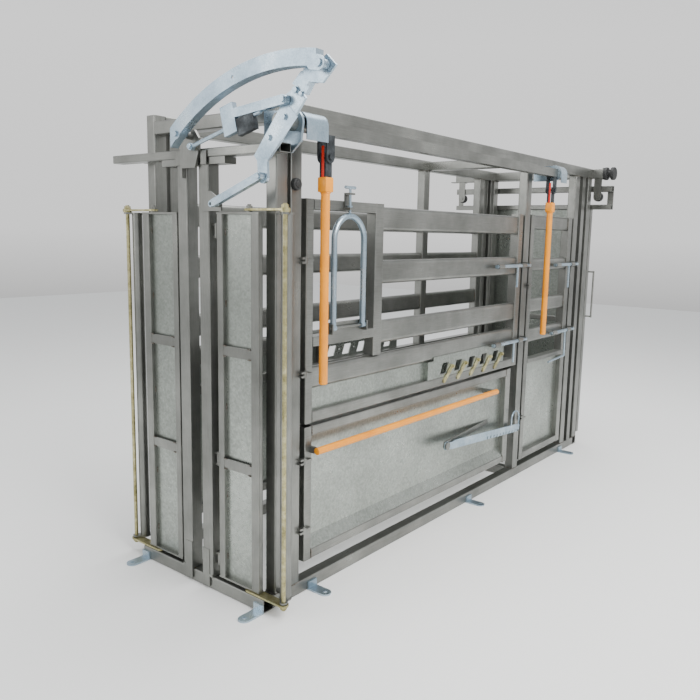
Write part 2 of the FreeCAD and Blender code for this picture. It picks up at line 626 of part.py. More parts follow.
def lever():
    y0, y1 = LEVER_Y, LEVER_Y + LEVER_T
    pivot = low_pivot()
    body = plate(LEVER_OUTLINE, "y", y0, y1)
    body = body.fuse([bar_plate((452, 1900), pivot, 52, "y", y0, y1)])
    stud = disc(LOCK_PIVOT[0], LOCK_PIVOT[1], 14 - 2 * RUN, "y", LOCK_Y[0] + 1, y0)
    head = disc(LOCK_PIVOT[0], LOCK_PIVOT[1], 24, "y", LOCK_Y[0] - 8, LOCK_Y[0] - SEAT)
    joggle = plate(JOGGLE_OUTLINE, "y", JOGGLE_Y, y1)
    hollow = [joggle_block(-120, 58, JOGGLE_Y - 1, y0 - JOGGLE_T),
              joggle_block(84, 300, JOGGLE_Y + JOGGLE_T, y1 + 1)]
    joggle = joggle.cut(hollow)
    top = disc(TOP_PIVOT[0], TOP_PIVOT[1], 15.8, "y", CURVED_ARM_Y[0] + 2, JOGGLE_Y)
    spacer = disc(TOP_PIVOT[0], TOP_PIVOT[1], 30, "y", CURVED_ARM_Y[1] + SEAT, JOGGLE_Y)
    cap = disc(TOP_PIVOT[0], TOP_PIVOT[1], 28, "y", CURVED_ARM_Y[0] - 7, CURVED_ARM_Y[0] - SEAT)
    tip = disc(TOP_PIVOT[0], TOP_PIVOT[1], 15.8, "y", CURVED_ARM_Y[0] - 1, CURVED_ARM_Y[0] + 3)
    add("lever_plate", fuse([body, stud, head, joggle, top, spacer, cap, tip]))
    pad = plate([(597, 2078), (640, 2036), (560, 1958), (517, 2000)], "y", y0 - 1.5, y0)
    add("lever_plate", fuse([pad, bolt_on(575, 2041, 12, "y", y0 - 1.5)]),
        bolt_on(492, 1972, 12, "y", y0),
        bolt_on(641, 2128, 14, "y", y0 - JOGGLE_T),
        bolt_on(668, 2112, 10, "y", y0 - JOGGLE_T))


def torque_tube():
    s = TUBE_S / 2
    x, z = TUBE_X, TUBE_Z
    stub_y = REAR_BEARING[0] - 2
    journal = rod((x, TUBE_Y0 + LEVER_T, z), (x, JOURNAL_END, z), JOURNAL_D)
    square = box(x - s, x + s, JOURNAL_END, stub_y, z - s, z + s)
    bore = box(x - s + WALL, x + s - WALL, JOURNAL_END + 8, stub_y - 8, z - s + WALL, z + s - WALL)
    stub = rod((x, stub_y, z), (x, TUBE_Y1, z), REAR_STUB_D)
    add("torque_tube", fuse([journal, square.cut(bore), stub]))
    for y in HANDLE_Y:
        w = CLEVIS_W / 2
        for x0 in (x - CLEVIS_GAP / 2 - CLEVIS_T, x + CLEVIS_GAP / 2):
            ear = fuse([box(x0, x0 + CLEVIS_T, y - w, y + w, HANDLE_PIVOT_Z, z - s),
                        disc(y, HANDLE_PIVOT_Z, CLEVIS_W, "x", x0, x0 + CLEVIS_T)])
            add("handle_clevises", ear.cut(disc(y, HANDLE_PIVOT_Z, 14, "x", x0 - 1, x0 + CLEVIS_T + 1)))
        reach = CLEVIS_GAP / 2 + CLEVIS_T
        pin = fuse([rod((x - reach, y, HANDLE_PIVOT_Z), (x + reach, y, HANDLE_PIVOT_Z), 14),
                    disc(y, HANDLE_PIVOT_Z, 26, "x", x + reach, x + reach + 7),
                    disc(y, HANDLE_PIVOT_Z, 26, "x", x - reach - 7, x - reach)])
        add("handle_clevises", pin)


def handles():
    """Hanging lever handles: a forked tongue on the clevis pin, a square sleeve and a round grip."""
    for name, y in zip(("front_handle", "rear_handle"), HANDLE_Y):
        half = CLEVIS_GAP / 2 - SEAT
        tongue = fuse([box(TUBE_X - half, TUBE_X + half, y - 20, y + 20, SLEEVE_Z[1], HANDLE_PIVOT_Z),
                       disc(y, HANDLE_PIVOT_Z, 40, "x", TUBE_X - half, TUBE_X + half)])
        tongue = tongue.cut([disc(y, HANDLE_PIVOT_Z, 14 + 2 * RUN, "x", TUBE_X - 30, TUBE_X + 30),
                             box(TUBE_X - half + 8, TUBE_X + half - 8, y - 30, y + 30,
                                 SLEEVE_Z[1] + 6, HANDLE_PIVOT_Z + 40)])
        s = SLEEVE / 2
        sleeve = tube("z", TUBE_X - s, TUBE_X + s, y - s, y + s, *SLEEVE_Z, radius=8)
        lid = box(TUBE_X - s + 3, TUBE_X + s - 3, y - s + 3, y + s - 3, SLEEVE_Z[1] - 6, SLEEVE_Z[1])
        floor = box(TUBE_X - s + 3, TUBE_X + s - 3, y - s + 3, y + s - 3, SLEEVE_Z[0], SLEEVE_Z[0] + 6)
        grip = pipe((TUBE_X, y, HANDLE_LOW_Z + 6), (TUBE_X, y, SLEEVE_Z[0]), HANDLE_D, HANDLE_D - 6)
        end = rod((TUBE_X, y, HANDLE_LOW_Z), (TUBE_X, y, HANDLE_LOW_Z + 6), HANDLE_D)
        end = end.makeFillet(4, [end.Edges[i] for i, e in enumerate(end.Edges)
                                 if abs(e.BoundBox.ZMax - HANDLE_LOW_Z) < 1e-6])
        add(name, fuse([tongue, sleeve, lid, floor, grip, end]))


def arc_band(inner, outer, y0, y1, x_from, x_to):
    """Part of a ring about the curved arm's centre, between two x values."""
    cx, cz = ARC_CENTRE
    ring = rod((cx, y0, cz), (cx, y1, cz), 2 * outer).cut(rod((cx, y0 - 1, cz), (cx, y1 + 1, cz), 2 * inner))
    return ring.common(box(x_from, x_to, y0 - 1, y1 + 1, cz + 400, cz + outer + 10))


def curved_arm():
    """Bow-shaped channel, web to the front, that ties the top of the lever to the far neck bar."""
    y0, y1 = CURVED_ARM_Y
    skin = 5.0
    x_from, x_to = ARM_END[0] - 38, TOP_PIVOT[0] - 12
    body = arc_band(ARC_INNER, ARC_OUTER, y0, y1, x_from, x_to)
    body = body.cut(arc_band(ARC_INNER + skin, ARC_OUTER - skin, y0 + skin, y1 + 1, x_from - 5, x_to - 26))
    tx, tz = TOP_PIVOT
    head = fuse([bar_plate((tx - 30, tz + 6), (tx, tz), 52, "y", y0, y0 + skin),
                 disc(tx, tz, 34, "y", y0 + skin, y1)])
    ax, az = ARM_END
    foot = fuse([disc(ax, az, 44, "y", y0, y0 + skin),
                 disc(ax, az, 30, "y", y0 + skin, y1)])
    body = fuse([body, head, foot])
    body = body.cut([disc(tx, tz, 16, "y", y0 - 1, y1 + 1),
                     disc(361, 2195, 12, "y", y0 - 1, y0 + skin + 1)])
    end_bolt = fuse([bolt(ax, az, 14, "y", y0 - 9, y0, washer=False),
                     disc(ax, az, 14, "y", y1, y1 + 8)])
    add("curved_arm", fuse([body, end_bolt]))


def lower_link():
    """Channel link from the near neck bar to the lower end of the lever."""
    y0, y1 = LOWER_LINK_Y
    start, end = LINK_END, low_pivot()
    body = bar_plate(start, end, 30, "y", y0, y1)
    length = math.hypot(end[0] - start[0], end[1] - start[1])
    c, s = (end[0] - start[0]) / length, (end[1] - start[1]) / length
    pocket = bar_plate((start[0] + 30 * c, start[1] + 30 * s), (end[0] - 30 * c, end[1] - 30 * s),
                       21, "y", y0 + 5, y1 + 1)
    trim = disc(start[0], start[1], 60, "y", y0 - 1, y1 + 1).cut(
        disc(start[0], start[1], 26, "y", y0 - 2, y1 + 2))
    nose = bar_plate((start[0] + 15 * c, start[1] + 15 * s), end, 30, "y", y0 - 2, y1 + 2)
    body = body.cut([pocket, trim.cut(nose)])
    body = body.cut(disc(start[0], start[1], 14, "y", y0 - 1, y1 + 1))
    head = bolt(end[0], end[1], 14, "y", y0 - 9, y0, washer=False)
    add("lower_link", fuse([body, head]))


def lock_arm():
    """Lock arm from the lever, the box at its free end and the jam block on the friction rod."""
    kx, kz = LOCK_PIVOT
    angle = math.atan2(ROD_END[1] - kz, ROD_END[0] - kx)
    c, s = math.cos(angle), math.sin(angle)
    y0, y1 = LOCK_Y
    bore = rod((kx, FRICTION_ROD_Y, kz), (kx + 700 * c, FRICTION_ROD_Y, kz + 700 * s),
               FRICTION_ROD_D + 2 * RUN)
    end = (kx + LOCK_REACH * c + LOCK_LIFT * s, kz + LOCK_REACH * s - LOCK_LIFT * c)
    arm = bar_plate(LOCK_PIVOT, end, 35, "y", y0, y1)
    start = (kx + 0.2 * (end[0] - kx), kz + 0.2 * (end[1] - kz))
    arm = arm.cut(bar_plate(start, end, 25, "y", y0 + 5, y1 + 1))
    case = lock_strip(angle, LOCK_REACH, LOCK_REACH + 74, -84, 32, y0, y1)
    case = case.cut(lock_strip(angle, LOCK_REACH + 5, LOCK_REACH + 69, -79, 27, y0 + 5, y1 + 1))
    arm = arm.cut(lock_strip(angle, LOCK_REACH + 1, LOCK_REACH + 60, -100, 60, y0 - 1, y1 + 1))
    arm = fuse([arm, case]).cut([bore, disc(kx, kz, 14, "y", y0 - 1, y1 + 1)])
    add("lock_arm", arm)
    block = lock_strip(angle, LOCK_REACH - 97, LOCK_REACH, -14, 52, y0 + 2, y1)
    block = block.cut(bar_plate(LOCK_PIVOT, end, 35, "y", y0 - 1, y1 + 1))
    jams = [lock_strip(angle, LOCK_REACH + a, LOCK_REACH + a + 9, -50, 24, y0 + 5, y1 - 2)
            for a in (12, 26, 40, 54)]
    add("lock_block", block.cut(bore), *[j.cut(bore) for j in jams])


def lock_strip(angle, a0, a1, b0, b1, y0, y1):
    """Block in the frame of the lock arm: a along it from the pivot, b across it, downwards."""
    kx, kz = LOCK_PIVOT
    c, s = math.cos(angle), math.sin(angle)
    points = [(kx + a * c - b * s, kz + a * s + b * c) for a, b in ((a0, b0), (a1, b0), (a1, b1), (a0, b1))]
    return plate(points, "y", y0, y1)


def friction_rod():
    kx, kz = LOCK_PIVOT
    angle = math.atan2(ROD_END[1] - kz, ROD_END[0] - kx)
    length = math.hypot(ROD_END[0] - kx, ROD_END[1] - kz)

    def at(a):
        return (kx + a * math.cos(angle), FRICTION_ROD_Y, kz + a * math.sin(angle))
    body = rod(at(130), at(length - 4), FRICTION_ROD_D)
    eye = disc(ROD_END[0], ROD_END[1], 30, "y", FRICTION_ROD_Y - 9, FRICTION_ROD_Y + 9)
    head = bolt(ROD_END[0], ROD_END[1], 12, "y", FRICTION_ROD_Y - 17, FRICTION_ROD_Y - 9, washer=False)
    add("friction_rod", fuse([body, eye, head]))


def tube_bearings():
    x, z = TUBE_X, TUBE_Z
    y0, y1 = FRONT_BEARING
    front = fuse([plate([(365, 1960), (429, 1960), (429, 1925), (516, 1925), (565, 1965), (575, 2035),
                         (545, 2080), (365, 2095)], "y", y0, y1),
                  disc(x, z, 100, "y", y0, y1)])
    front = front.cut(rod((x, y0 - 1, z), (x, y1 + 1, z), JOURNAL_D + 2 * RUN))
    y0, y1 = REAR_BEARING
    rear = fuse([box(HALF - 40, x, y0, y1, z - 50, TOP_RAIL_Z), disc(x, z, 100, "y", y0, y1)])
    rear = rear.cut(rod((x, y0 - 1, z), (x, y1 + 1, z), REAR_STUB_D + 2 * RUN))
    add("tube_bearings", front, rear)
    for y0, y1 in COVERS:
        r = COVER_R
        skirt = z - 60
        outer = fuse([rod((x, y0, z), (x, y1, z), 2 * r),
                      box(HALF, x, y0, y1, TOP_RAIL_Z, z + r), box(x, x + r, y0, y1, skirt, z)])
        inner = fuse([rod((x, y0 - 1, z), (x, y1 + 1, z), 2 * (r - 4)),
                      box(HALF - 1, x, y0 - 1, y1 + 1, TOP_RAIL_Z - 40, z + r - 4),
                      box(x - 60, x + r - 4, y0 - 1, y1 + 1, skirt - 1, z)])
        cover = outer.cut([inner, box(HALF - 5, x - 1, y0 - 1, y1 + 1, skirt - 10, z + 25)])
        lip = box(HALF, HALF + 4, y0, y1, TOP_RAIL_Z + 5, z + r)
        add("tube_covers", fuse([cover, lip]))


# ---------------------------------------------------------------- near side gates
def gate_hinge(x, y, z, gate_y):
    """Fixed lug pair with a pin on the post behind, and the moving strap between them."""
    fixed = []
    for low in (z - 9 - SEAT, z + 8 + SEAT):
        fixed.append(fuse([box(HALF, x + 6, y - 28, y, low, low + 9), disc(x, y, 22, "z", low, low + 9)]))
    fixed.append(rod((x, y, z - 14), (x, y, z + 22), 12))
    fixed = [fixed[0].cut(box(x - 60, HALF, y - 60, y + 40, 0, 3000)),
             fixed[1].cut(box(x - 60, HALF, y - 60, y + 40, 0, 3000)), fixed[2]]
    strap = fuse([disc(x, y, 22, "z", z, z + 8), box(HALF, x + 6, y + 2, gate_y + 30, z, z + 8)])
    strap = strap.cut([disc(x, y, 12 + 2 * RUN, "z", z - 1, z + 9),
                       box(HALF - 60, HALF, y - 60, gate_y + 40, z - 1, z + 9)])
    return fuse(fixed), strap


def gate_fittings():
    hinges = (("side_gate_frame", HINGE_Y, GATE_Y0, (1010.0, 1500.0)),
              ("lower_door_frame", HINGE_Y, GATE_Y0, (300.0, 620.0)),
              ("vet_gate_frame", VET_HINGE_Y, VET_Y0, (400.0, 1300.0)))
    for node, y, gate_y, heights in hinges:
        for z in heights:
            fixed, strap = gate_hinge(HINGE_X, y, z, gate_y)
            add("gate_fittings", fixed)
            add(node, strap)
    for name, (_, _, z) in BOLTS.items():
        post = MID_POST_Y if "side" in name else REAR_POST_Y
        for low in (z - BOLT_D / 2 - 8, z + BOLT_D / 2 + 2):
            add("gate_fittings", box(HALF, BOLT_X + 14, post + 3, post + 28, low, low + 6))
    py, pz = peg_place()
    add("gate_fittings", fuse([box(HALF, HALF + 8, py - 14, MID_POST_Y + 30, pz - 14, pz + 14),
                               disc(py, pz, STAY_PEG_D, "x", HALF + 6, STAY_X + 8)]))


def side_gate():
    x0, x1 = HALF - SIDE_T, HALF
    mid = HALF - SIDE_T / 2
    s = NECK_FRAME_S
    low = MID_RAIL_Z[0]
    rear = GATE_Y1 - SIDE_REAR_UP
    neck = NECK_FRAME_Y - POST_X - 5
    add("side_gate_frame",
        tube("z", x0, x1, GATE_Y0, GATE_Y0 + GATE_UP, low, GATE_TOP_Z),
        tube("z", x0, x1, rear, GATE_Y1, low, GATE_TOP_Z),
        tube("z", x0, x1, neck, NECK_FRAME_Y, LOW_OVAL_Z + LOW_OVAL_H, GATE_TOP_Z),
        tube("y", x0, x1, GATE_Y0 + GATE_UP, neck, GATE_TOP_Z - s, GATE_TOP_Z),
        tube("y", x0, x1, GATE_Y0 + GATE_UP, neck, NECK_FRAME_Z, NECK_FRAME_Z + s))
    for z in RAILS_Z:
        add("side_gate_rails", oval(mid, NECK_FRAME_Y, rear, z))
    add("side_gate_rails",
        oval(mid, GATE_Y0 + GATE_UP, rear, LOW_OVAL_Z, LOW_OVAL_H),
        tube("y", x0, x1, GATE_Y0 + GATE_UP, rear, *MID_RAIL_Z))
    add("side_gate_sheet", upper_sheet(mid + 4))
    sleeve_y = BOLTS["side_bolt_lower"][0] + 15
    sleeve_room = box(x0, x1 + 1, sleeve_y, sleeve_y + BOLT_CASE_L,
                      BOLTS["side_bolt_lower"][2] - 9, GATE_TOP_Z)
    add("side_slotted_plate",
        slotted_plate(*SLOT_PLATE).cut(sleeve_room),
        box(x0, x1, SLOT_Y0 - STIFFENER_W, SLOT_Y0, MID_RAIL_Z[1], LOW_OVAL_Z))
    y0, y1 = HOOP_Y
    bracket = box(HALF, HOOP_X - HOOP_D / 2 - SEAT, y0 - 8, y1 + 8, NECK_FRAME_Z + 2, HOOP_AXIS_Z + 24)
    ears = [box(HALF, HOOP_X + 16, y, y + 8, HOOP_AXIS_Z - 26, HOOP_AXIS_Z + 20)
            for y in (y0 - 8, y1)]
    pin = rod((HOOP_X, y0 - 14, HOOP_AXIS_Z), (HOOP_X, y1 + 14, HOOP_AXIS_Z), 12)
    add("hoop_bracket", fuse([bracket] + ears + [pin]))


def hoop():
    """Arched neck hoop on a cross pin."""
    y0, y1 = HOOP_Y
    r = (y1 - y0 - HOOP_D) / 2
    ym = (y0 + y1) / 2
    d = HOOP_D
    spring = HOOP_TOP_Z - d / 2 - r
    foot_a, foot_b = V(HOOP_X, ym - r, HOOP_AXIS_Z), V(HOOP_X, ym + r, HOOP_AXIS_Z)
    side_a, side_b = V(HOOP_X, ym - r, spring), V(HOOP_X, ym + r, spring)
    path = Part.Wire([Part.LineSegment(foot_a, side_a).toShape(),
                      Part.Arc(side_a, V(HOOP_X, ym, spring + r), side_b).toShape(),
                      Part.LineSegment(side_b, foot_b).toShape()])
    section = Part.Wire(Part.makeCircle(d / 2, foot_a, V(0, 0, 1)))
    feet = [rod((HOOP_X, y - d / 2, HOOP_AXIS_Z), (HOOP_X, y + d / 2, HOOP_AXIS_Z), d - 1)
            for y in (ym - r, ym + r)]
    body = fuse([path.makePipeShell([section], True, True)] + feet)
    body = body.cut(rod((HOOP_X, y0 - 20, HOOP_AXIS_Z), (HOOP_X, y1 + 20, HOOP_AXIS_Z), 12 + 2 * RUN))
    body = body.cut(box(HOOP_X - d, HOOP_X + d, y0 - 20, y0 + SEAT, 0, 3000))
    body = body.cut(box(HOOP_X - d, HOOP_X + d, y1 - SEAT, y1 + 20, 0, 3000))
    add("neck_hoop", body)
    z = HOOP_TOP_Z + SEAT
    add("hoop_latch", fuse([rod((HOOP_X, ym, z), (HOOP_X, ym, z + 112), 12),
                            rod((HOOP_X, ym - 34, z + 112), (HOOP_X, ym + 34, z + 112), 14),
                            disc(HOOP_X, ym, 24, "z", z + 26, z + 32)]))
    case = box(HALF, HOOP_X + 14, ym - 18, ym + 18, z + 14, z + 22)
    hood = box(HALF, HOOP_X + 14, ym - 18, ym + 18, z + 80, z + 88)
    back = box(HALF, HALF + 6, ym - 18, ym + 18, z + 14, z + 88)
    guide = fuse([case, hood, back]).cut(rod((HOOP_X, ym, 0), (HOOP_X, ym, 3000), 12 + 2 * RUN))
    add("hoop_bracket", guide)


def pawls():
    for i in range(SLOT_COUNT):
        y, z = pawl_bolt_y(i), PAWL_BOLT_Z
        x = HALF + SEAT
        arm = bar_plate((y, z), (y - 84, z - 76), 22, "x", x, x + 6)
        head = bolt(y, z, 10, "x", x + 16, x)
        spacer = disc(y, z, 22, "x", SLOT_PLATE[1] + SEAT, x)
        pin = disc(y, z, 10, "x", SLOT_PLATE[0] - 8, x + 4)
        add("pawl_" + str(i + 1), fuse([arm, head, spacer, pin]))


def lower_door():
    x0, x1 = HALF - SIDE_T, HALF
    z0, z1 = DOOR_Z
    y0, y1 = GATE_Y0 + GATE_UP, DOOR_Y1 - SIDE_REAR_UP
    add("lower_door_frame",
        tube("z", x0, x1, GATE_Y0, y0, z0, z1),
        tube("z", x0, x1, y1, DOOR_Y1, z0, z1),
        tube("y", x0, x1, y0, y1, z0, z0 + DOOR_RAIL),
        tube("y", x0, x1, y0, y1, z1 - DOOR_RAIL, z1))
    t = SHEET
    add("lower_door_sheet",
        plate([(SHEET_X, z1 - DOOR_RAIL), (SHEET_X, LIP_Z), (HALF - 4, z0 + DOOR_RAIL),
               (HALF - 4 - 2 * t, z0 + DOOR_RAIL), (SHEET_X - t, LIP_Z - 2), (SHEET_X - t, z1 - DOOR_RAIL)],
              "y", y0, y1))
    ga, gb = GRAB_BAR_Y
    add("grab_bar", rod((GRAB_BAR_X, ga, GRAB_BAR_Z), (GRAB_BAR_X, gb, GRAB_BAR_Z), GRAB_BAR_D))
    reach = GRAB_BAR_X - GRAB_BAR_D / 2
    for foot_x, y in ((HALF, ga + 3), (SHEET_X, gb - 40)):
        add("lower_door_frame", box(foot_x, reach, y, y + 16, GRAB_BAR_Z - 14, GRAB_BAR_Z + 14))
    py, pz = STAY_PIVOT
    inner = STAY_X - STAY_T - SEAT
    arm = Part.makePolygon([V(SHEET_X, STAY_ROOT_Y, pz - 6), V(SHEET_X, STAY_ROOT_Y - 50, pz - 6),
                            V(inner - 8, py - 15, pz - 6), V(inner, py - 15, pz - 6),
                            V(inner, py + 20, pz - 6), V(SHEET_X, STAY_ROOT_Y, pz - 6)])
    arm = Part.Face(arm).extrude(V(0, 0, 32))
    pivot = disc(py, pz, 14 - 2 * RUN, "x", inner - 4, STAY_X + 2)
    head = disc(py, pz, 44, "x", STAY_X + SEAT, STAY_X + 8)
    add("lower_door_frame", fuse([arm, disc(py, pz, 40, "x", inner - 8, inner), pivot, head]))


def stay_frame():
    """Length and direction of the stay, and the place of the peg along it."""
    py = STAY_PIVOT[0]
    length = math.hypot(STAY_END_Y - py, STAY_RISE)
    c, s = (STAY_END_Y - py) / length, STAY_RISE / length
    return length, c, s


def stay_at(a, b):
    """Point a along the stay and b above its centre line, as (y, z)."""
    py, pz = STAY_PIVOT
    _, c, s = stay_frame()
    return py + a * c - b * s, pz + a * s + b * c


def stay():
    """Notched hold-open stay: a flat bar on edge with slots in its lower edge and a grip loop."""
    length, _, _ = stay_frame()
    x0, x1 = STAY_X - STAY_T, STAY_X
    top, low = 24.0, -26.0
    body = plate([stay_at(*p) for p in ((24, low + 6), (60, low), (length - 14, low), (length, low + 12),
                                        (length, top - 10), (length - 10, top), (90, top), (60, 16),
                                        (24, 16))], "x", x0, x1)
    body = body.fuse(disc(STAY_PIVOT[0], STAY_PIVOT[1], 50, "x", x0, x1))
    for i in range(STAY_NOTCHES):
        a = length - 70 - i * STAY_NOTCH_PITCH
        body = body.cut(plate([stay_at(*p) for p in ((a, low - 3), (a + 10, low - 3), (a + 16, low + 18),
                                                     (a + 6, low + 18))], "x", x0 - 1, x1 + 1))
    body = body.cut(disc(STAY_PIVOT[0], STAY_PIVOT[1], 14, "x", x0 - 1, x1 + 1))
    py, pz = peg_place()
    notch = STAY_PEG_D / 2 + SEAT
    body = body.cut([disc(py, pz, 2 * notch, "x", x0 - 1, x1 + 1),
                     box(x0 - 1, x1 + 1, py - notch, py + notch, pz - 40, pz)])
    xm = (x0 + x1) / 2
    ya, za = stay_at(length - 118, top - 6)
    yb, zb = stay_at(length - 12, top - 6)
    r = (yb - ya) / 2
    ring = Part.makeTorus(r, 5, V(xm, (ya + yb) / 2, za + 40), V(1, 0, 0))
    ring = ring.common(box(xm - 6, xm + 6, ya - 8, yb + 8, za + 40, za + 120))
    legs = [rod((xm, ya, za), (xm, ya, za + 40), 10), rod((xm, yb, zb), (xm, yb, za + 40), 10)]
    add("notched_stay", fuse([body.removeSplitter(), ring] + legs))


def peg_place():
    """Centre of the peg, under the rear end of the stay."""
    _, c, _ = stay_frame()
    a = (STAY_PEG_Y - STAY_PIVOT[0]) / c
    return stay_at(a, -20.0)


def slam_bolts():
    """Slam bolts in short sleeves on the gates, with hanging handles."""
    for name, (start, tip, z) in BOLTS.items():
        on_side = "side" in name
        upright = (GATE_Y1 - SIDE_REAR_UP) if on_side else (VET_Y1 - SIDE_REAR_UP)
        gate = "side_gate_frame" if on_side else "vet_gate_frame"
        for y0, face in ((start + 15, HALF - SIDE_T / 2 + OVAL_T / 2), (upright, HALF)):
            y1 = y0 + BOLT_CASE_L if face < HALF else y0 + SIDE_REAR_UP
            seat = box(face, BOLT_X, y0, y1, z - 9, z + 9)
            sleeve = seat.fuse(rod((BOLT_X, y0, z), (BOLT_X, y1, z), BOLT_CASE_D))
            add(gate, sleeve.cut(rod((BOLT_X, y0 - 1, z), (BOLT_X, y1 + 1, z), BOLT_D + 2 * RUN)))
        shaft = rod((BOLT_X, start, z), (BOLT_X, tip, z), BOLT_D)
        y = start + BOLT_HANDLE * (tip - start)
        parts = [shaft]
        if name == "vet_bolt_lower":
            corner = (BOLT_X, y + 8, z - 187)
            parts += [rod((BOLT_X, y, z), corner, 14), Part.makeSphere(7, V(*corner)),
                      rod(corner, (BOLT_X, start - 19, z - 203), 14)]
        else:
            drop = 166 if name == "vet_bolt_upper" else 135
            parts += [rod((BOLT_X, y, z), (BOLT_X, y, z - drop), 14)]
        add(name, fuse(parts))


def vet_gate():
    x0, x1 = HALF - SIDE_T, HALF
    mid = HALF - SIDE_T / 2
    ya, yb = VET_Y0 + GATE_UP, VET_Y1 - SIDE_REAR_UP
    add("vet_gate_frame",
        tube("z", x0, x1, VET_Y0, ya, VET_LOW_Z, VET_RAILS_Z[0][1]),
        tube("z", x0, x1, yb, VET_Y1, VET_LOW_Z, VET_RAILS_Z[0][1]),
        tube("y", x0, x1, ya, yb, VET_LOW_Z, VET_LOW_Z + DOOR_RAIL),
        tube("y", x0, x1, ya, yb, VET_SHEET_TOP - 30, VET_SHEET_TOP))
    for low, high in VET_RAILS_Z:
        add("vet_gate_frame", oval(mid, ya, yb, low, high - low))
    add("vet_gate_sheet",
        box(SHEET_X - SHEET, SHEET_X, ya, yb, VET_LOW_Z + DOOR_RAIL, VET_SHEET_TOP - 30))


# ---------------------------------------------------------------- rear sliding gate
def rear_gate():
    y0, y1 = SLIDE_Y, SLIDE_Y + SLIDE_T
    gx0, gx1 = SLIDE_X
    bx0, bx1 = SLIDE_BAR_X
    (ta, tb), (ma, mb) = SLIDE_BARS
    s = 45.0
    add("sliding_gate_frame",
        tube("x", bx0, bx1, y0, y1, ta, tb),
        tube("x", bx0, bx1, y0, y1, ma, mb),
        box(bx1 - s, bx1, y1, y1 + 6, ma, tb),
        box(bx0, bx0 + s, y1, y1 + 6, ma, tb),
        tube("z", gx0, gx0 + s, y0, y1, SLIDE_LOW_Z, ma),
        tube("z", gx1 - s, gx1, y0, y1, SLIDE_LOW_Z, ma),
        tube("x", gx0 + s, gx1 - s, y0, y1, SLIDE_LOW_Z, SLIDE_LOW_Z + 40),
        tube("x", gx0 + s, gx1 - s, y0, y1, SLIDE_MID_Z, SLIDE_MID_Z + 40))
    ym = (y0 + y1) / 2
    for low, high in ((SLIDE_LOW_Z + 40, SLIDE_MID_Z), (SLIDE_MID_Z + 40, ma)):
        add("sliding_gate_sheet", box(gx0 + s, gx1 - s, ym - 1, ym + 1, low, high))
    low, high, d = 1020.0, 1366.0, 12.0
    grip = [rod((gx1, ym, z), (gx1 + 46, ym, z), d) for z in (low, high)]
    grip.append(rod((gx1 + 46, ym, low - d / 2 - 2), (gx1 + 46, ym, high + d / 2 + 2), d + 2))
    add("sliding_gate_frame", fuse(grip))


def rear_track():
    y0, y1 = TRACK_Y
    z0, z1 = TRACK_Z
    x0, x1 = TRACK_X
    add("gate_track", tube("x", x0, x1, y0, y1, z0, z1), box(x0 - 51, x0, y0 + 6, y1, z0, z0 + 8),
        box(x1, x1 + 8, y0, y1, z0 - 8, z1 + 8))
    ym = (y0 + y1) / 2
    zc = (z0 + z1) / 2
    steps = ((8, 36, 95), (36, 60, 48), (60, 88, 95))
    add("rubber_bumpers", fuse([rod((x1 + a, ym, zc), (x1 + b, ym, zc), d) for a, b, d in steps]))
    face = SLIDE_Y + SLIDE_T
    zr = SLIDE_BARS[0][0] - SEAT - ROLLER_D / 2
    w = HANGER_W / 2
    for name, x in zip(("far_roller", "middle_roller", "near_roller"), ROLLER_X):
        hanger = fuse([box(x - w, x + w, y0 + 6, y0 + 12, zr, z0), disc(x, zr, 2 * w, "y", y0 + 6, y0 + 12),
                       box(x - w, x + w, y0 + 6, y0 + 40, z0 - 6, z0),
                       rod((x, y0 + 1, zr), (x, face - 2, zr), 14),
                       rod((x, y0 + 1, zr), (x, y0 + 6, zr), 24)])
        add("gate_track", hanger)
        wheel = rod((x, SLIDE_Y + 3, zr), (x, face - 3, zr), ROLLER_D)
        add(name, wheel.cut(rod((x, SLIDE_Y, zr), (x, face, zr), 14 + 2 * RUN)))
    for x in GUIDE_X:
        add("gate_track", fuse([box(x - 30, x + 30, LENGTH, face + 9, 10, 22),
                                box(x - 30, x + 30, face + 2, face + 9, 22, SLIDE_LOW_Z + 18),
                                box(x - 30, x + 30, LENGTH, SLIDE_Y - 3, 22, 60)]))


def bumpers():
    y = POST2_Y + 22
    add("rubber_bumpers", fuse([disc(y, 1815, 50, "x", HALF, HALF + 17),
                                disc(y, 1815, 42, "x", HALF + 17, HALF + 25)]))


# ---------------------------------------------------------------- build
for build in (base_frame, anchors, posts, top_frame, far_side, fold_fixed, head_gate, slide_beam, lever,
              torque_tube, handles, curved_arm, lower_link, lock_arm, friction_rod, tube_bearings,
              gate_fittings, side_gate, hoop, pawls, lower_door, stay, slam_bolts, vet_gate, rear_gate,
              rear_track, bumpers):
    build()

for name, solids in nodes.items():
    shape = Part.makeCompound(solids)
    shape.translate(V(0, -ORIGIN_Y, 0))
    shape.exportStep("parts/" + name + ".step")
    if not shape.isValid():
        print("not valid:", name)
print(len(nodes), "nodes", sum(len(s) for s in nodes.values()), "solids")
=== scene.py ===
"""Looks of a cattle squeeze chute: steel finishes, weld beads, rubber, handles and small fittings.

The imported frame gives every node's place; the classes below dress its nodes and add the pieces that
need more shape than the frame holds.  Lengths are in metres unless a name ends in _mm.
"""
import logging
import math
import random
from dataclasses import dataclass, field
from enum import Enum

import bmesh
import bpy
from mathutils import Matrix, Vector


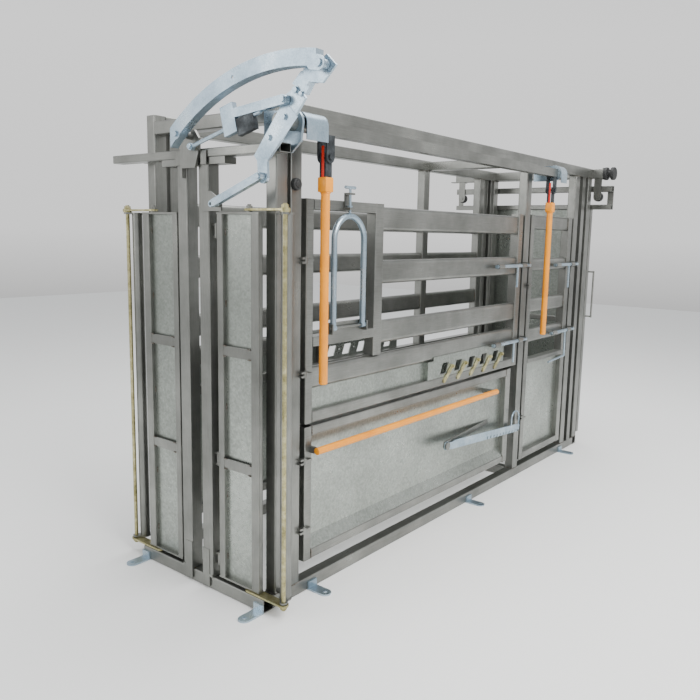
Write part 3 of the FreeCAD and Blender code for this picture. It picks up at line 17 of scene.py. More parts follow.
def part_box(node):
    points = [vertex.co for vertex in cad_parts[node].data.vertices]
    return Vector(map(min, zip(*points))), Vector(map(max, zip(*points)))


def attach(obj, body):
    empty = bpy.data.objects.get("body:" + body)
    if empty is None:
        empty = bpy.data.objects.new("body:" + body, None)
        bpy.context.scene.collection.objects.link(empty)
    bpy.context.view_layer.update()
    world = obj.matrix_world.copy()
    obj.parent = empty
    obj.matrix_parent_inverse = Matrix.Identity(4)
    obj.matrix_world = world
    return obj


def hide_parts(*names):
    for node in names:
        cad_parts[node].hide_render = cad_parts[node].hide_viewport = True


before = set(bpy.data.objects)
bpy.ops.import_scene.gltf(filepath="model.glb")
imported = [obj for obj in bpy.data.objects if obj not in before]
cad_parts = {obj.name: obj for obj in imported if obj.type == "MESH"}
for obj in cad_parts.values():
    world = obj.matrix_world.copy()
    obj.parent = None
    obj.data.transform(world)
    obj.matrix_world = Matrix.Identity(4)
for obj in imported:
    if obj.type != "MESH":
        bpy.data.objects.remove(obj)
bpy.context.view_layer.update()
log = logging.getLogger("chute")
MM = 0.001


class Grain(Enum):
    """Direction in which a tube was rolled or a sheet was drawn."""

    ALONG = (6.0, 0.12, 6.0)
    UPRIGHT = (6.0, 6.0, 0.12)
    SIDEWAYS = (0.12, 6.0, 6.0)
    NONE = (1.0, 1.0, 1.0)


def linear(code: str) -> tuple[float, float, float, float]:
    """Turn an sRGB hex colour into linear RGBA.

    Args:
        code: six hex digits after a hash.

    Returns:
        Linear red, green, blue and an alpha of one.
    """
    values = [int(code[i:i + 2], 16) / 255 for i in (1, 3, 5)]
    linears = [v / 12.92 if v <= 0.04045 else ((v + 0.055) / 1.055) ** 2.4 for v in values]
    return (*linears, 1.0)


def add_node(tree: bpy.types.NodeTree, kind: str, settings: dict | None = None,
             links: dict | None = None) -> bpy.types.Node:
    """Add a shader node with its settings and links.

    Args:
        tree: the tree that gets the node.
        kind: Blender's type name.
        settings: property or input names with their values.
        links: input names or numbers with the socket that feeds each.

    Returns:
        The new node.
    """
    node = tree.nodes.new(kind)
    for name, value in (settings or {}).items():
        if hasattr(node, str(name)) and not isinstance(name, int):
            setattr(node, name, value)
        else:
            node.inputs[name].default_value = value
    for name, socket in (links or {}).items():
        tree.links.new(socket, node.inputs[name])
    return node


def set_ramp(node: bpy.types.Node, stops: list[tuple[float, str]]) -> bpy.types.Node:
    """Give a colour ramp its stops.

    Args:
        node: the colour ramp.
        stops: position and hex colour of each stop, in order.

    Returns:
        The same node.
    """
    elements = node.color_ramp.elements
    while len(elements) < len(stops):
        elements.new(0.5)
    for element, (place, code) in zip(elements, stops):
        element.position = place
        element.color = linear(code)
    return node


@dataclass(frozen=True)
class SteelFinish:
    """Bare, galvanised or plated steel: mottled colour, drawn grain, spangle and fine relief.

    Attributes:
        label: the material's name.
        slot: the record's material slot; not used.
        dark, middle, light: sRGB hex colours of the mottle.
        mottle_mm: size of the cloudy patches.
        grain: direction of the drawn lines.
        grain_mm: spacing of the drawn lines.
        spangle_mm: width of a zinc crystal, or nought for none.
        metallic: how much of the surface acts as metal.
        roughness: lowest and highest roughness.
        relief: strength of the bump.
    """

    label: str
    slot: str
    dark: str
    middle: str
    light: str
    mottle_mm: float = 70.0
    grain: Grain = Grain.NONE
    grain_mm: float = 3.0
    spangle_mm: float = 0.0
    metallic: float = 0.9
    roughness: tuple[float, float] = (0.35, 0.55)
    relief: float = 0.12

    def material(self) -> bpy.types.Material:
        """Build the material once and return it."""
        made = bpy.data.materials.get(self.label)
        if made:
            return made
        made = bpy.data.materials.new(self.label)
        made.use_nodes = True
        tree = made.node_tree
        shader = tree.nodes["Principled BSDF"]
        place = add_node(tree, "ShaderNodeTexCoord").outputs["Object"]
        clouds = add_node(tree, "ShaderNodeTexNoise",
                          {"Scale": 1 / (self.mottle_mm * MM), "Detail": 5.0, "Roughness": 0.62},
                          {"Vector": place}).outputs["Fac"]
        stretched = add_node(tree, "ShaderNodeMapping", {"Scale": self.grain.value}, {"Vector": place})
        lines = add_node(tree, "ShaderNodeTexNoise",
                         {"Scale": 1 / (self.grain_mm * MM * 6), "Detail": 3.0, "Roughness": 0.5},
                         {"Vector": stretched.outputs["Vector"]}).outputs["Fac"]
        blend = add_node(tree, "ShaderNodeMath", {"operation": "MULTIPLY_ADD", 1: 0.35, 2: -0.175},
                         {0: lines}).outputs[0]
        tone = add_node(tree, "ShaderNodeMath", {"operation": "ADD"}, {0: clouds, 1: blend}).outputs[0]
        if self.spangle_mm:
            crystals = add_node(tree, "ShaderNodeTexVoronoi", {"Scale": 1 / (self.spangle_mm * MM)},
                                {"Vector": place})
            grey = add_node(tree, "ShaderNodeSeparateColor", {}, {0: crystals.outputs["Color"]})
            flake = add_node(tree, "ShaderNodeMath", {"operation": "MULTIPLY_ADD", 1: 0.16, 2: -0.08},
                             {0: grey.outputs[0]}).outputs[0]
            tone = add_node(tree, "ShaderNodeMath", {"operation": "ADD"}, {0: tone, 1: flake}).outputs[0]
        ramp = set_ramp(add_node(tree, "ShaderNodeValToRGB", {}, {"Fac": tone}),
                        [(0.28, self.dark), (0.5, self.middle), (0.74, self.light)])
        rough = add_node(tree, "ShaderNodeMapRange",
                         {"From Min": 0.3, "From Max": 0.7, "To Min": self.roughness[1],
                          "To Max": self.roughness[0]}, {"Value": tone})
        bump = add_node(tree, "ShaderNodeBump", {"Strength": self.relief, "Distance": 0.4 * MM},
                        {"Height": lines})
        shader.inputs["Metallic"].default_value = self.metallic
        tree.links.new(ramp.outputs["Color"], shader.inputs["Base Color"])
        tree.links.new(rough.outputs["Result"], shader.inputs["Roughness"])
        tree.links.new(bump.outputs["Normal"], shader.inputs["Normal"])
        return made


@dataclass(frozen=True)
class CoatFinish:
    """Powder coat, rubber or moulded plastic: an even colour with a fine skin texture.

    Attributes:
        label: the material's name.
        slot: the record's material slot; not used.
        shade, colour: sRGB hex colours of the darker and of the lighter faint patches.
        grit_mm: spacing of the skin texture.
        patch_mm: size of the faint patches.
        ior: index of refraction.
        roughness: lowest and highest roughness.
        coat: weight of the clear top layer.
        relief: strength of the bump.
    """

    label: str
    slot: str
    shade: str
    colour: str
    grit_mm: float = 1.2
    patch_mm: float = 120.0
    ior: float = 1.5
    roughness: tuple[float, float] = (0.3, 0.42)
    coat: float = 0.0
    relief: float = 0.06

    def material(self) -> bpy.types.Material:
        """Build the material once and return it."""
        made = bpy.data.materials.get(self.label)
        if made:
            return made
        made = bpy.data.materials.new(self.label)
        made.use_nodes = True
        tree = made.node_tree
        shader = tree.nodes["Principled BSDF"]
        place = add_node(tree, "ShaderNodeTexCoord").outputs["Object"]
        patches = add_node(tree, "ShaderNodeTexNoise",
                           {"Scale": 1 / (self.patch_mm * MM), "Detail": 6.0, "Roughness": 0.6},
                           {"Vector": place}).outputs["Fac"]
        skin = add_node(tree, "ShaderNodeTexNoise", {"Scale": 1 / (self.grit_mm * MM), "Detail": 2.0},
                        {"Vector": place}).outputs["Fac"]
        ramp = set_ramp(add_node(tree, "ShaderNodeValToRGB", {}, {"Fac": patches}),
                        [(0.3, self.shade), (0.6, self.colour)])
        rough = add_node(tree, "ShaderNodeMapRange",
                         {"From Min": 0.3, "From Max": 0.7, "To Min": self.roughness[0],
                          "To Max": self.roughness[1]}, {"Value": patches})
        bump = add_node(tree, "ShaderNodeBump", {"Strength": self.relief, "Distance": 0.3 * MM},
                        {"Height": skin})
        shader.inputs["IOR"].default_value = self.ior
        shader.inputs["Coat Weight"].default_value = self.coat
        tree.links.new(ramp.outputs["Color"], shader.inputs["Base Color"])
        tree.links.new(rough.outputs["Result"], shader.inputs["Roughness"])
        tree.links.new(bump.outputs["Normal"], shader.inputs["Normal"])
        return made


def steel_tube(name: str, grain: Grain) -> SteelFinish:
    """Pre-galvanised structural tube, roll formed: dull grey zinc with long drawn lines.

    Args:
        name: the way the tubes run, for the material's name.
        grain: direction of the drawn lines.

    Returns:
        The finish.
    """
    return SteelFinish(f"pregalvanised_tube_{name}", "galvanised_tube", "#696a66", "#80817d", "#989994",
                       grain=grain, mottle_mm=420.0, grain_mm=2.0, roughness=(0.27, 0.4), relief=0.05)


TUBE_UPRIGHT = steel_tube("upright", Grain.UPRIGHT)
TUBE_ALONG = steel_tube("along", Grain.ALONG)
TUBE_SIDEWAYS = steel_tube("sideways", Grain.SIDEWAYS)
# Continuous galvanised sheet: flat, with soft crystal spangle and cloudy reflections.
GALVANISED_SHEET = SteelFinish("galvanised_sheet_spangled", "galvanised_sheet", "#828781", "#959a94",
                               "#abb0aa", mottle_mm=600.0, spangle_mm=9.0, roughness=(0.26, 0.4),
                               relief=0.03)
# Blue-white passivated zinc plate over laser-cut steel: pale, cool and even, half glossy.
BRIGHT_ZINC = SteelFinish("blue_zinc_plated_steel", "bright_zinc_plate", "#8598a6", "#9fb1be", "#bccad3",
                          mottle_mm=160.0, grain_mm=1.2, roughness=(0.24, 0.4), relief=0.05)
# Yellow passivated zinc plate on turned and pressed parts: straw and olive bloom.
YELLOW_ZINC = SteelFinish("yellow_zinc_plated_steel", "yellow_zinc_steel", "#7d7850", "#a8a177", "#c9c39d",
                          mottle_mm=45.0, grain_mm=1.5, roughness=(0.28, 0.45), relief=0.06)
# Arc-welded filler metal: dark scale with straw and blue heat colours.
WELD_METAL = SteelFinish("arc_weld_metal", "galvanised_tube", "#2f2b28", "#6d665c", "#8f9196",
                         mottle_mm=14.0, grain_mm=1.0, roughness=(0.35, 0.6), relief=0.3)
# Oiled, blackened jam plates and casing.
BLACK_STEEL = SteelFinish("blackened_steel", "dark_lock_steel", "#2a2d2f", "#3c4043", "#54595c",
                          mottle_mm=40.0, metallic=0.7, roughness=(0.4, 0.6))
# Amber polyester powder coat, oven cured: glossy with faint orange peel.
AMBER_POWDER = CoatFinish("amber_powder_coat", "orange_powder_coat", "#de8600", "#ee9500", grit_mm=2.5,
                          roughness=(0.3, 0.4), coat=0.1)
# Moulded natural rubber: matt black with a dusty bloom.
BLACK_RUBBER = CoatFinish("moulded_black_rubber", "black_rubber", "#161717", "#262727", grit_mm=0.8,
                          patch_mm=30.0, ior=1.52, roughness=(0.55, 0.75), relief=0.1)
# Red PVC edge strip, extruded.
RED_STRIP = CoatFinish("extruded_red_pvc", "orange_powder_coat", "#b32014", "#dd2f1c", roughness=(0.35, 0.45))

NODE_FINISH = {
    TUBE_UPRIGHT: ("front_posts", "side_posts", "near_panel_frame", "far_panel_frame", "near_neck_bar",
                   "far_neck_bar", "hinge_pipes", "gate_fittings"),
    TUBE_ALONG: ("base_frame", "top_frame", "far_side_frame", "side_gate_frame", "side_gate_rails",
                 "lower_door_frame", "vet_gate_frame", "hoop_bracket", "torque_tube"),
    TUBE_SIDEWAYS: ("slide_beam", "gate_track", "sliding_gate_frame"),
    GALVANISED_SHEET: ("far_side_sheets", "far_slotted_plate", "near_panel_sheet", "far_panel_sheet",
                       "side_gate_sheet", "side_slotted_plate", "lower_door_sheet", "vet_gate_sheet",
                       "sliding_gate_sheet"),
    BRIGHT_ZINC: ("lever_plate", "curved_arm", "lower_link", "lock_arm", "friction_rod",
                  "notched_stay", "tube_covers", "tube_bearings", "anchor_lugs", "neck_hoop", "hoop_latch",
                  "side_bolt_upper", "side_bolt_lower", "vet_bolt_upper", "vet_bolt_lower"),
    YELLOW_ZINC: ("near_links", "far_links", "pawl_1", "pawl_2", "pawl_3", "pawl_4", "pawl_5"),
    AMBER_POWDER: ("front_handle", "rear_handle", "grab_bar"),
    BLACK_RUBBER: ("rubber_bumpers", "far_roller", "middle_roller", "near_roller"),
    BLACK_STEEL: ("lock_block", "handle_clevises"),
}


def dress_nodes() -> None:
    """Give every node of the frame its finish."""
    for finish, nodes in NODE_FINISH.items():
        for name in nodes:
            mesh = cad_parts[name].data
            mesh.materials.clear()
            mesh.materials.append(finish.material())
        log.info("%s dresses %d nodes", finish.label, len(nodes))


def new_piece(name: str, mesh: bmesh.types.BMesh, finish: SteelFinish | CoatFinish, body: str,
              smooth_angle: float = 35.0) -> bpy.types.Object:
    """Turn a bmesh into a piece that rides on a body.

    Args:
        name: the piece's name.
        mesh: its mesh, in the row frame; it is freed.
        finish: its surface.
        body: the body that carries it.
        smooth_angle: edges sharper than this many degrees stay hard.

    Returns:
        The new object.
    """
    bmesh.ops.recalc_face_normals(mesh, faces=mesh.faces)
    data = bpy.data.meshes.new(name)
    for edge in mesh.edges:
        if len(edge.link_faces) == 2:
            edge.smooth = edge.calc_face_angle(0.0) < math.radians(smooth_angle)
    for face in mesh.faces:
        face.smooth = True
    mesh.to_mesh(data)
    mesh.free()
    data.materials.append(finish.material())
    piece = bpy.data.objects.new(name, data)
    bpy.context.scene.collection.objects.link(piece)
    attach(piece, body)
    log.info("piece %s rides on %s", name, body)
    return piece


def lathe(mesh: bmesh.types.BMesh, profile: list[tuple[float, float]], origin: Vector, axis: Vector,
          sides: int = 40) -> None:
    """Turn a profile about an axis and add it to a mesh.

    Args:
        mesh: the mesh that grows.
        profile: distance along the axis and radius of each point; it starts and ends at radius nought.
        origin: where the axis starts.
        axis: its direction.
        sides: facets round the turn.
    """
    turn = axis.normalized().to_track_quat("Z", "Y").to_matrix()
    rings = []
    for along, radius in profile:
        if radius <= 1e-7:
            rings.append([mesh.verts.new(origin + turn @ Vector((0, 0, along)))])
            continue
        ring = []
        for i in range(sides):
            a = 2 * math.pi * i / sides
            corner = Vector((radius * math.cos(a), radius * math.sin(a), along))
            ring.append(mesh.verts.new(origin + turn @ corner))
        rings.append(ring)
    for low, high in zip(rings, rings[1:]):
        for i in range(sides):
            j = (i + 1) % sides
            if len(low) == 1:
                mesh.faces.new((low[0], high[j], high[i]))
            elif len(high) == 1:
                mesh.faces.new((low[i], low[j], high[0]))
            else:
                mesh.faces.new((low[i], low[j], high[j], high[i]))


def rounded_bar(length: float, radius: float, round_off: float, steps: int = 5) -> list[tuple[float, float]]:
    """Profile of a solid bar with rounded ends.

    Args:
        length: overall length.
        radius: radius of the bar.
        round_off: radius of the rounding at each end.
        steps: points in each rounding.

    Returns:
        Profile points for lathe.
    """
    points = [(0.0, 0.0)]
    for i in range(steps + 1):
        a = math.pi / 2 * i / steps
        points.append((round_off * (1 - math.cos(a)), radius - round_off * (1 - math.sin(a))))
    mirrored = [(length - along, r) for along, r in reversed(points)]
    return points + mirrored


def block(mesh: bmesh.types.BMesh, low: Vector, high: Vector, bevel: float) -> None:
    """Add a block with rounded edges to a mesh.

    Args:
        mesh: the mesh that grows.
        low: lowest corner.
        high: highest corner.
        bevel: radius of the edges.
    """
    size = high - low
    made = bmesh.ops.create_cube(mesh, size=1.0, matrix=Matrix.Translation((low + high) / 2)
                                 @ Matrix.Diagonal((*size, 1.0)))
    edges = list({edge for vert in made["verts"] for edge in vert.link_edges})
    bmesh.ops.bevel(mesh, geom=edges, offset=bevel, segments=3, profile=0.5, affect="EDGES")


@dataclass
class WeldRun:
    """One straight fillet weld, laid as overlapping ripples.

    Attributes:
        start: one end of the run.
        end: the other end.
        leg: radius of the bead.
        ripple: pitch of the ripples.
        wander: smallest and largest size of a ripple, as shares of the leg.
        valley: where a ripple is narrow, as a share of its pitch, and its share of the size there.
        crest: where a ripple is full, as a share of its pitch.
        sides: facets round the bead.
    """

    start: Vector
    end: Vector
    leg: float = 3.2 * MM
    ripple: float = 5.0 * MM
    wander: tuple[float, float] = (0.86, 1.12)
    valley: tuple[float, float] = (0.12, 0.8)
    crest: float = 0.55
    sides: int = 8

    def add_to(self, mesh: bmesh.types.BMesh, dice: random.Random) -> None:
        """Add the bead to a mesh, with its size wandering a little along the run.

        Args:
            mesh: the mesh that grows.
            dice: the source of the ripples' sizes.
        """
        run = self.end - self.start
        count = max(3, int(run.length / self.ripple))
        step = run.length / count
        profile = [(0.0, 0.0)]
        for i in range(count):
            size = self.leg * dice.uniform(*self.wander)
            profile.append(((i + self.valley[0]) * step, size * self.valley[1]))
            profile.append(((i + self.crest) * step, size))
        profile.append((run.length, 0.0))
        lathe(mesh, profile, self.start, run, sides=self.sides)


@dataclass
class Welding:
    """All the welds of one body, as one piece.

    Attributes:
        body: the body that carries the welds.
        runs: the separate beads.
    """

    body: str
    runs: list[WeldRun] = field(default_factory=list)

    def along(self, start: tuple[float, float, float], end: tuple[float, float, float]) -> None:
        """Add one bead between two points.

        Args:
            start: one end of the bead.
            end: the other end.
        """
        self.runs.append(WeldRun(Vector(start), Vector(end)))

    def ring_z(self, x0: float, x1: float, y0: float, y1: float, z: float) -> None:
        """Add beads round the foot or head of an upright tube.

        Args:
            x0, x1: sides of the tube across the chute.
            y0, y1: front and back of the tube.
            z: height of the joint.
        """
        self.along((x0, y0, z), (x1, y0, z))
        self.along((x1, y0, z), (x1, y1, z))
        self.along((x1, y1, z), (x0, y1, z))
        self.along((x0, y1, z), (x0, y0, z))

    def ends_y(self, x0: float, x1: float, z0: float, z1: float, places: tuple[float, ...]) -> None:
        """Add beads round the ends of a tube that runs along the chute.

        Args:
            x0, x1: sides of the tube across the chute.
            z0, z1: bottom and top of its flat faces.
            places: where along the chute it meets its neighbours.
        """
        for y in places:
            self.along((x0, y, z0), (x0, y, z1))
            self.along((x1, y, z0), (x1, y, z1))
            self.along((x0, y, z1), (x1, y, z1))

    def build(self) -> None:
        """Make the piece."""
        dice = random.Random(len(self.runs))
        mesh = bmesh.new()
        for run in self.runs:
            run.add_to(mesh, dice)
        new_piece(f"weld_beads_{self.body}", mesh, WELD_METAL, self.body, smooth_angle=60.0)


@dataclass
class FrameWelds:
    """Welds of the fixed frame, worked out from the boxes of its nodes.

    Attributes:
        base_top: height of the base tube.
        post_across: post section across the chute.
        front_posts: front and back of each front post, from the front of the base.
        side_posts: the same for the middle and rear posts.
        rail_under: underside of the top rails.
        neck_reach: how far out the open neck bars come, which the corner beads stay clear of.
        rails: bottom and top of each oval rail.
        rail_face: inner and outer face of the oval rails.
        rail_round: how far the beads stay from the rounded edges of a rail.
        rail_start: gap from the front posts to the rails of the far side.
        corner_bead: bottom and top of the upright bead at the corner of the base.
    """

    base_top: float = 0.060
    post_across: float = 0.060
    front_posts: tuple[tuple[float, float], ...] = ((0.072, 0.138), (0.156, 0.222))
    side_posts: tuple[tuple[float, float], ...] = ((2.330, 2.400), (3.130, 3.200), (3.364, 3.434))
    rail_under: float = 2.070
    neck_reach: float = 0.395
    rails: tuple[tuple[float, float], ...] = ((1.636, 1.751), (1.380, 1.495), (1.085, 1.200), (0.935, 1.035))
    rail_face: tuple[float, float] = (0.374, 0.416)
    rail_round: float = 0.020
    rail_start: float = 0.048
    corner_bead: tuple[float, float] = (0.004, 0.056)

    def build(self) -> None:
        """Make the welds of posts, base, top rails and far side rails."""
        low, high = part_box("base_frame")
        half, front = high.x, low.y
        inner = half - self.post_across
        job = Welding("frame")
        for sign in (-1, 1):
            x0, x1 = sorted((sign * inner, sign * half))
            for y0, y1 in self.front_posts + self.side_posts:
                job.ring_z(x0, x1, front + y0, front + y1, self.base_top)
                if y0 > self.front_posts[0][0]:
                    job.ring_z(x0, x1, front + y0, front + y1, self.rail_under)
            job.along((sign * self.neck_reach, front + self.base_top, self.base_top),
                      (sign * half, front + self.base_top, self.base_top))
            job.along((sign * half, front + self.base_top, self.corner_bead[0]),
                      (sign * half, front + self.base_top, self.corner_bead[1]))
        first = front + self.front_posts[1][1] + self.rail_start
        for z0, z1 in self.rails:
            job.ends_y(-self.rail_face[1], -self.rail_face[0], z0 + self.rail_round, z1 - self.rail_round,
                       (first, front + self.side_posts[0][0], front + self.side_posts[0][1],
                        front + self.side_posts[1][0]))
        job.build()


@dataclass
class GateWelds:
    """Welds of the near side gate, the lower door, the rear side gate and the folding panels.

    Attributes:
        frames: the sizes that the gates share with the fixed frame.
        neck_place: where the rails above the neck opening start, from the front of the base.
        neck_height: rails whose top is above this start at the neck opening.
        outer: outer face of the gates.
        door_rails: bottom and top of each tube of the lower door.
        door_depth: how far the beads of the lower door reach in from its outer face.
        vet_rails: bottom and top of each rail of the rear side gate.
        rib_edges: heights of the edges of the panel ribs.
        rib_bead: length of a bead at the end of a rib.
        rib_depth: how far the ribs stand in front of the panel sheet.
        tacks: heights of the tacks along the panel sheet.
        tack_length: length of a tack.
        tack_depth: how far the tacks stand in front of the sheet.
    """

    frames: FrameWelds = field(default_factory=FrameWelds)
    neck_place: float = 0.800
    neck_height: float = 1.100
    outer: float = 0.425
    door_rails: tuple[tuple[float, float], ...] = ((0.145, 0.190), (0.725, 0.770))
    door_depth: float = 0.026
    vet_rails: tuple[tuple[float, float], ...] = (
        (1.673, 1.767), (1.397, 1.481), (1.114, 1.214), (0.910, 1.005),
    )
    rib_edges: tuple[float, ...] = (0.590, 0.635, 1.090, 1.135)
    rib_bead: float = 0.020
    rib_depth: float = 0.018
    tacks: tuple[float, ...] = (0.16, 0.45, 0.85, 1.30, 1.60)
    tack_length: float = 0.030
    tack_depth: float = 0.001

    def side_gate(self) -> None:
        """Make the welds at the ends of the side gate's rails."""
        low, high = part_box("side_gate_rails")
        inner, outer = self.frames.rail_face
        edge = self.frames.rail_round
        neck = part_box("base_frame")[0].y + self.neck_place
        job = Welding("side_gate")
        for z0, z1 in self.frames.rails:
            front_end = neck if z1 > self.neck_height else low.y
            job.ends_y(inner, outer, z0 + edge, z1 - edge, (front_end, high.y))
        job.build()

    def lower_door(self) -> None:
        """Make the welds at the ends of the lower door's tubes."""
        low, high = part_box("lower_door_sheet")
        job = Welding("lower_door")
        for z0, z1 in self.door_rails:
            job.ends_y(high.x - self.door_depth, self.outer, z0, z1, (low.y, high.y))
        job.build()

    def rear_side_gate(self) -> None:
        """Make the welds at the ends of the rear side gate's rails."""
        low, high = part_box("vet_gate_sheet")
        inner, outer = self.frames.rail_face
        edge = self.frames.rail_round
        job = Welding("vet_gate")
        for z0, z1 in self.vet_rails:
            job.ends_y(inner, outer, z0 + edge, z1 - edge, (low.y, high.y))
        job.build()

    def panel(self, side: str) -> None:
        """Make the rib welds and the sheet tacks of one folding panel.

        Args:
            side: near or far.
        """
        low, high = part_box(f"{side}_panel_sheet")
        job = Welding(f"fold_panel_{side}")
        face = low.y - self.rib_depth
        for z in self.rib_edges:
            job.along((low.x, face, z), (low.x + self.rib_bead, face, z))
            job.along((high.x - self.rib_bead, face, z), (high.x, face, z))
        tack = low.y - self.tack_depth
        for z in self.tacks:
            for x in (low.x, high.x):
                job.along((x, tack, z), (x, tack, z + self.tack_length))
        job.build()

    def build(self) -> None:
        """Make the welds of each gate and panel."""
        self.side_gate()
        self.lower_door()
        self.rear_side_gate()
        for side in ("near", "far"):
            self.panel(side)


@dataclass
class Handle:
    """Hanging lever handle: forked tongue, square sleeve with rounded edges, long grip with a domed end.

    Attributes:
        node: the node that it stands for.
        body: the body that carries it.
        sleeve_height: height of the square sleeve.
        sleeve_top: height of the top of the sleeve.
        grip: diameter of the grip.
        tongue_gap: opening of the forked tongue.
        pivot: height of the clevis pin.
        sleeve_round: radius of the sleeve's edges.
        grip_round: radius of the grip's ends.
        collar: height of the cone under the sleeve.
        collar_lap: how far the cone starts below the sleeve.
        tongue_half: half the width of the tongue.
        tongue_plate: thickness of each tongue plate.
        tongue_round: radius of the tongue's edges.
        strip_half: half the width of the red strip.
        strip_depth: nearest and furthest place of the strip, in front of the middle.
        tongue_top: how far the tongue reaches above the pin.
        strip_top: how far the strip reaches above the pin.
    """

    node: str
    body: str
    sleeve_height: float = 0.060
    sleeve_top: float = 1.845
    grip: float = 0.038
    tongue_gap: float = 0.020
    pivot: float = 1.925
    sleeve_round: float = 5 * MM
    grip_round: float = 7 * MM
    collar: float = 7 * MM
    collar_lap: float = 6 * MM
    tongue_half: float = 0.019
    tongue_plate: float = 8 * MM
    tongue_round: float = 1.5 * MM
    strip_half: float = 0.006
    strip_depth: tuple[float, float] = (0.015, 0.021)
    tongue_top: float = 0.016
    strip_top: float = 0.045

    def build(self) -> None:
        """Make the sleeve, the grip, the tongue and the strip."""
        low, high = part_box(self.node)
        middle = (low + high) / 2
        mesh = bmesh.new()
        half = (high.x - low.x) / 2
        base = self.sleeve_top - self.sleeve_height
        block(mesh, Vector((middle.x - half, middle.y - half, base)),
              Vector((middle.x + half, middle.y + half, self.sleeve_top)), self.sleeve_round)
        length = base - low.z + 2 * MM
        lathe(mesh, rounded_bar(length, self.grip / 2, self.grip_round), Vector((middle.x, middle.y, low.z)),
              Vector((0, 0, 1)))
        collar = [(0, 0), (0, self.grip / 2 + 1 * MM), (4 * MM, self.grip / 2 + 3.5 * MM),
                  (self.collar, 0.021), (self.collar, 0)]
        lathe(mesh, collar, Vector((middle.x, middle.y, base - self.collar_lap)), Vector((0, 0, 1)))
        piece = new_piece(f"{self.node}_coated", mesh, AMBER_POWDER, self.body)
        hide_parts(self.node)
        tongue = bmesh.new()
        for side in (-1, 1):
            inner = side * self.tongue_gap / 2
            x0, x1 = sorted((middle.x + inner, middle.x + inner + side * self.tongue_plate))
            block(tongue, Vector((x0, middle.y - self.tongue_half, self.sleeve_top - 2 * MM)),
                  Vector((x1, middle.y + self.tongue_half, self.pivot + self.tongue_top)), self.tongue_round)
        new_piece(f"{self.node}_tongue", tongue, BLACK_STEEL, self.body)
        strip = bmesh.new()
        block(strip, Vector((middle.x - self.strip_half, middle.y - self.strip_depth[1], self.sleeve_top)),
              Vector((middle.x + self.strip_half, middle.y - self.strip_depth[0], self.pivot + self.strip_top)),
              self.tongue_round)
        new_piece(f"{self.node}_strip", strip, RED_STRIP, self.body)


@dataclass
class GrabBar:
    """Powder-coated bar on the lower door, with capped ends."""

    node: str = "grab_bar"

    def build(self) -> None:
        """Make the bar."""
        low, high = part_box(self.node)
        mesh = bmesh.new()
        centre = (low + high) / 2
        lathe(mesh, rounded_bar(high.y - low.y, (high.x - low.x) / 2, 4 * MM),
              Vector((centre.x, low.y, centre.z)), Vector((0, 1, 0)))
        piece = new_piece("grab_bar_coated", mesh, AMBER_POWDER, "lower_door")
        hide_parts(self.node)


@dataclass
class RubberParts:
    """Ribbed track buffers and the post bumper, moulded with soft edges.

    Attributes:
        rib: radius of a buffer rib.
        waist: radius between the ribs.
        bumper: radius of the post bumper.
        track_end: where the buffers start.
        post_face: face of the post that carries the bumper.
        ribs: where each rib starts along a buffer.
        length: length of the pair of ribs.
    """

    rib: float = 0.0475
    waist: float = 0.024
    bumper: float = 0.025
    track_end: float = 0.505
    post_face: float = 0.425
    ribs: tuple[float, float] = (0.0, 0.052)
    length: float = 0.080

    def build(self) -> None:
        """Make the buffers and the bumper."""
        low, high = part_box("rubber_bumpers")
        mesh = bmesh.new()
        centre = Vector((self.track_end, high.y - self.rib, high.z - self.rib))
        profile = [(0.0, 0.0)]
        for start in self.ribs:
            profile += [(start, self.waist), (start, self.rib - 5 * MM), (start + 3 * MM, self.rib - 1 * MM),
                        (start + 8 * MM, self.rib), (start + 20 * MM, self.rib),
                        (start + 25 * MM, self.rib - 1 * MM), (start + 28 * MM, self.rib - 5 * MM),
                        (start + 28 * MM, self.waist)]
        profile.append((self.length, 0.0))
        lathe(mesh, profile, centre, Vector((1, 0, 0)))
        profile = [(0, 0), (0, self.bumper - 1 * MM), (3 * MM, self.bumper), (14 * MM, self.bumper),
                   (19 * MM, self.bumper - 2 * MM), (21 * MM, self.bumper - 6 * MM), (20 * MM, 0.016),
                   (24 * MM, 0.013), (25 * MM, 0.008), (25 * MM, 0)]
        seat = Vector((self.post_face, low.y + self.bumper, low.z + self.bumper))
        lathe(mesh, profile, seat, Vector((1, 0, 0)))
        piece = new_piece("moulded_buffers", mesh, BLACK_RUBBER, "frame")
        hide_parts("rubber_bumpers")


@dataclass
class Roller:
    """Grooved roller of the sliding gate.

    Attributes:
        place: far, middle or near.
        groove: depth of the groove.
        hub: radius of the sunk hub face and of its rim.
        sink: depth of the hub face.
        edge: width of the rounded edge.
    """

    place: str
    groove: float = 2.5 * MM
    hub: tuple[float, float] = (0.014, 0.015)
    sink: float = 2 * MM
    edge: float = 4 * MM

    def build(self) -> None:
        """Make the roller with its hub faces."""
        low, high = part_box(f"{self.place}_roller")
        centre = (low + high) / 2
        radius = (high.z - low.z) / 2
        width = high.y - low.y
        face, rim = self.hub
        half = [(self.sink, 0), (self.sink, face), (0, rim), (0, radius - 3 * MM),
                (1.5 * MM, radius - 1 * MM), (self.edge, radius), (width * 0.35, radius - self.groove)]
        profile = half + [(width - along, r) for along, r in reversed(half)]
        mesh = bmesh.new()
        lathe(mesh, profile, Vector((centre.x, low.y, centre.z)), Vector((0, 1, 0)), sides=48)
        piece = new_piece(f"{self.place}_roller_tyre", mesh, BLACK_RUBBER, f"roller_{self.place}")
        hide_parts(f"{self.place}_roller")


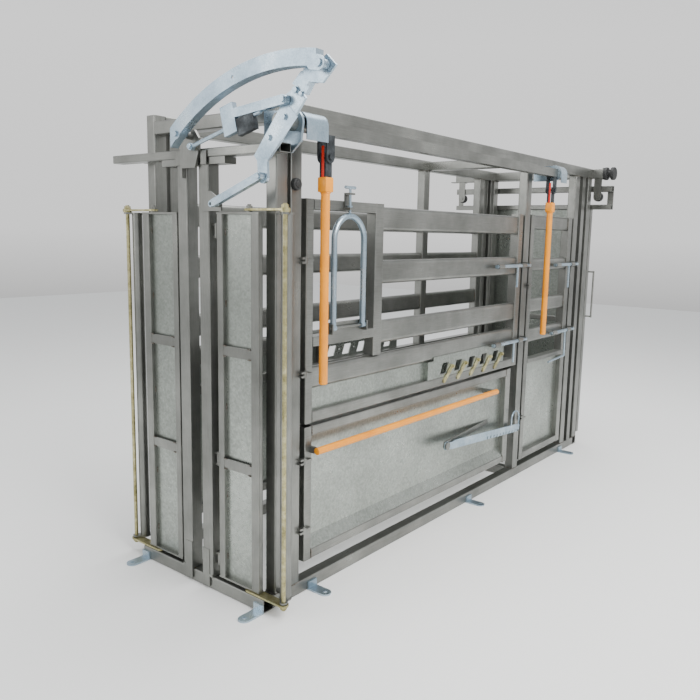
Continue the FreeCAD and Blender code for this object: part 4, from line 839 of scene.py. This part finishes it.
@dataclass
class Studio:
    """Pale floor, soft lights, bright surround and the camera.

    Attributes:
        heading: turn of the camera about the vertical, in degrees.
        dip: how far it looks down, in degrees.
        roll: tilt of the picture, in degrees.
        stand: where the camera stands.
        lens: focal length in millimetres.
        shift: small framing shift.
        lamps: name, place, size and power in watts of each soft light.
    """

    heading: float = 38.0
    dip: float = 8.65
    roll: float = 1.22
    stand: tuple[float, float, float] = (2.507, -3.696, 1.620)
    lens: float = 36.85
    shift: tuple[float, float] = (-0.0199, -0.0102)
    lamps: tuple[tuple[str, tuple[float, float, float], float, float], ...] = (
        ("key", (4.5, -1.5, 5.0), 3.5, 420.0),
        ("front", (-2.5, -6.0, 3.2), 3.0, 90.0),
        ("overhead", (0.0, 1.0, 6.5), 4.0, 300.0),
    )

    def camera(self) -> None:
        """Place the camera."""
        data = bpy.data.cameras.new("view")
        data.sensor_width = 36.0
        data.lens = self.lens
        data.shift_x, data.shift_y = self.shift
        data.clip_end = 60.0
        obj = bpy.data.objects.new("view", data)
        bpy.context.scene.collection.objects.link(obj)
        turn = (Matrix.Rotation(math.radians(self.heading), 4, "Z")
                @ Matrix.Rotation(math.radians(90 - self.dip), 4, "X")
                @ Matrix.Rotation(math.radians(self.roll), 4, "Z"))
        obj.matrix_world = Matrix.Translation(self.stand) @ turn
        bpy.context.scene.camera = obj

    def floor(self) -> None:
        """Lay the pale floor."""
        mesh = bmesh.new()
        bmesh.ops.create_grid(mesh, x_segments=1, y_segments=1, size=14.0)
        data = bpy.data.meshes.new("floor")
        mesh.to_mesh(data)
        mesh.free()
        paint = bpy.data.materials.new("floor_paint")
        paint.use_nodes = True
        shader = paint.node_tree.nodes["Principled BSDF"]
        shader.inputs["Base Color"].default_value = linear("#f2f2f0")
        shader.inputs["Roughness"].default_value = 0.8
        data.materials.append(paint)
        obj = bpy.data.objects.new("floor", data)
        bpy.context.scene.collection.objects.link(obj)

    def light(self, name: str, place: tuple[float, float, float], size: float, power: float) -> None:
        """Hang one soft light that faces the chute.

        Args:
            name: the light's name.
            place: where it hangs.
            size: width of its square face.
            power: its power in watts.
        """
        data = bpy.data.lights.new(name, "AREA")
        data.shape = "SQUARE"
        data.size = size
        data.energy = power
        obj = bpy.data.objects.new(name, data)
        bpy.context.scene.collection.objects.link(obj)
        aim = Vector((0.0, 0.0, 1.0)) - Vector(place)
        obj.matrix_world = Matrix.Translation(place) @ aim.to_track_quat("-Z", "Y").to_matrix().to_4x4()

    def surround(self) -> None:
        """Light the room: bright above the horizon, darker near the ground."""
        world = bpy.data.worlds.new("surround")
        bpy.context.scene.world = world
        world.use_nodes = True
        tree = world.node_tree
        back = tree.nodes["Background"]
        place = add_node(tree, "ShaderNodeTexCoord").outputs["Generated"]
        height = add_node(tree, "ShaderNodeSeparateXYZ", {}, {0: place}).outputs["Z"]
        level = add_node(tree, "ShaderNodeMapRange", {"From Min": -1.0, "From Max": 1.0}, {"Value": height})
        ramp = set_ramp(add_node(tree, "ShaderNodeValToRGB", {}, {"Fac": level.outputs["Result"]}),
                        [(0.40, "#6c6c6a"), (0.50, "#f4f4f4"), (0.62, "#ffffff"), (0.95, "#c4c8cc")])
        tree.links.new(ramp.outputs["Color"], back.inputs["Color"])
        back.inputs["Strength"].default_value = 1.15

    def build(self) -> None:
        """Set up the whole studio."""
        self.surround()
        self.floor()
        for lamp in self.lamps:
            self.light(*lamp)
        self.camera()
        log.info("studio ready")


def main() -> None:
    """Dress the frame and build the pieces and the studio."""
    logging.basicConfig(level=logging.INFO, format="%(name)s: %(message)s")
    dress_nodes()
    parts = [FrameWelds(), GateWelds(), Handle("front_handle", "handle_front"),
             Handle("rear_handle", "handle_rear"), GrabBar(), RubberParts()]
    parts += [Roller(place) for place in ("far", "middle", "near")]
    for part in parts:
        part.build()
    Studio().build()


if __name__ == "__main__":
    main()
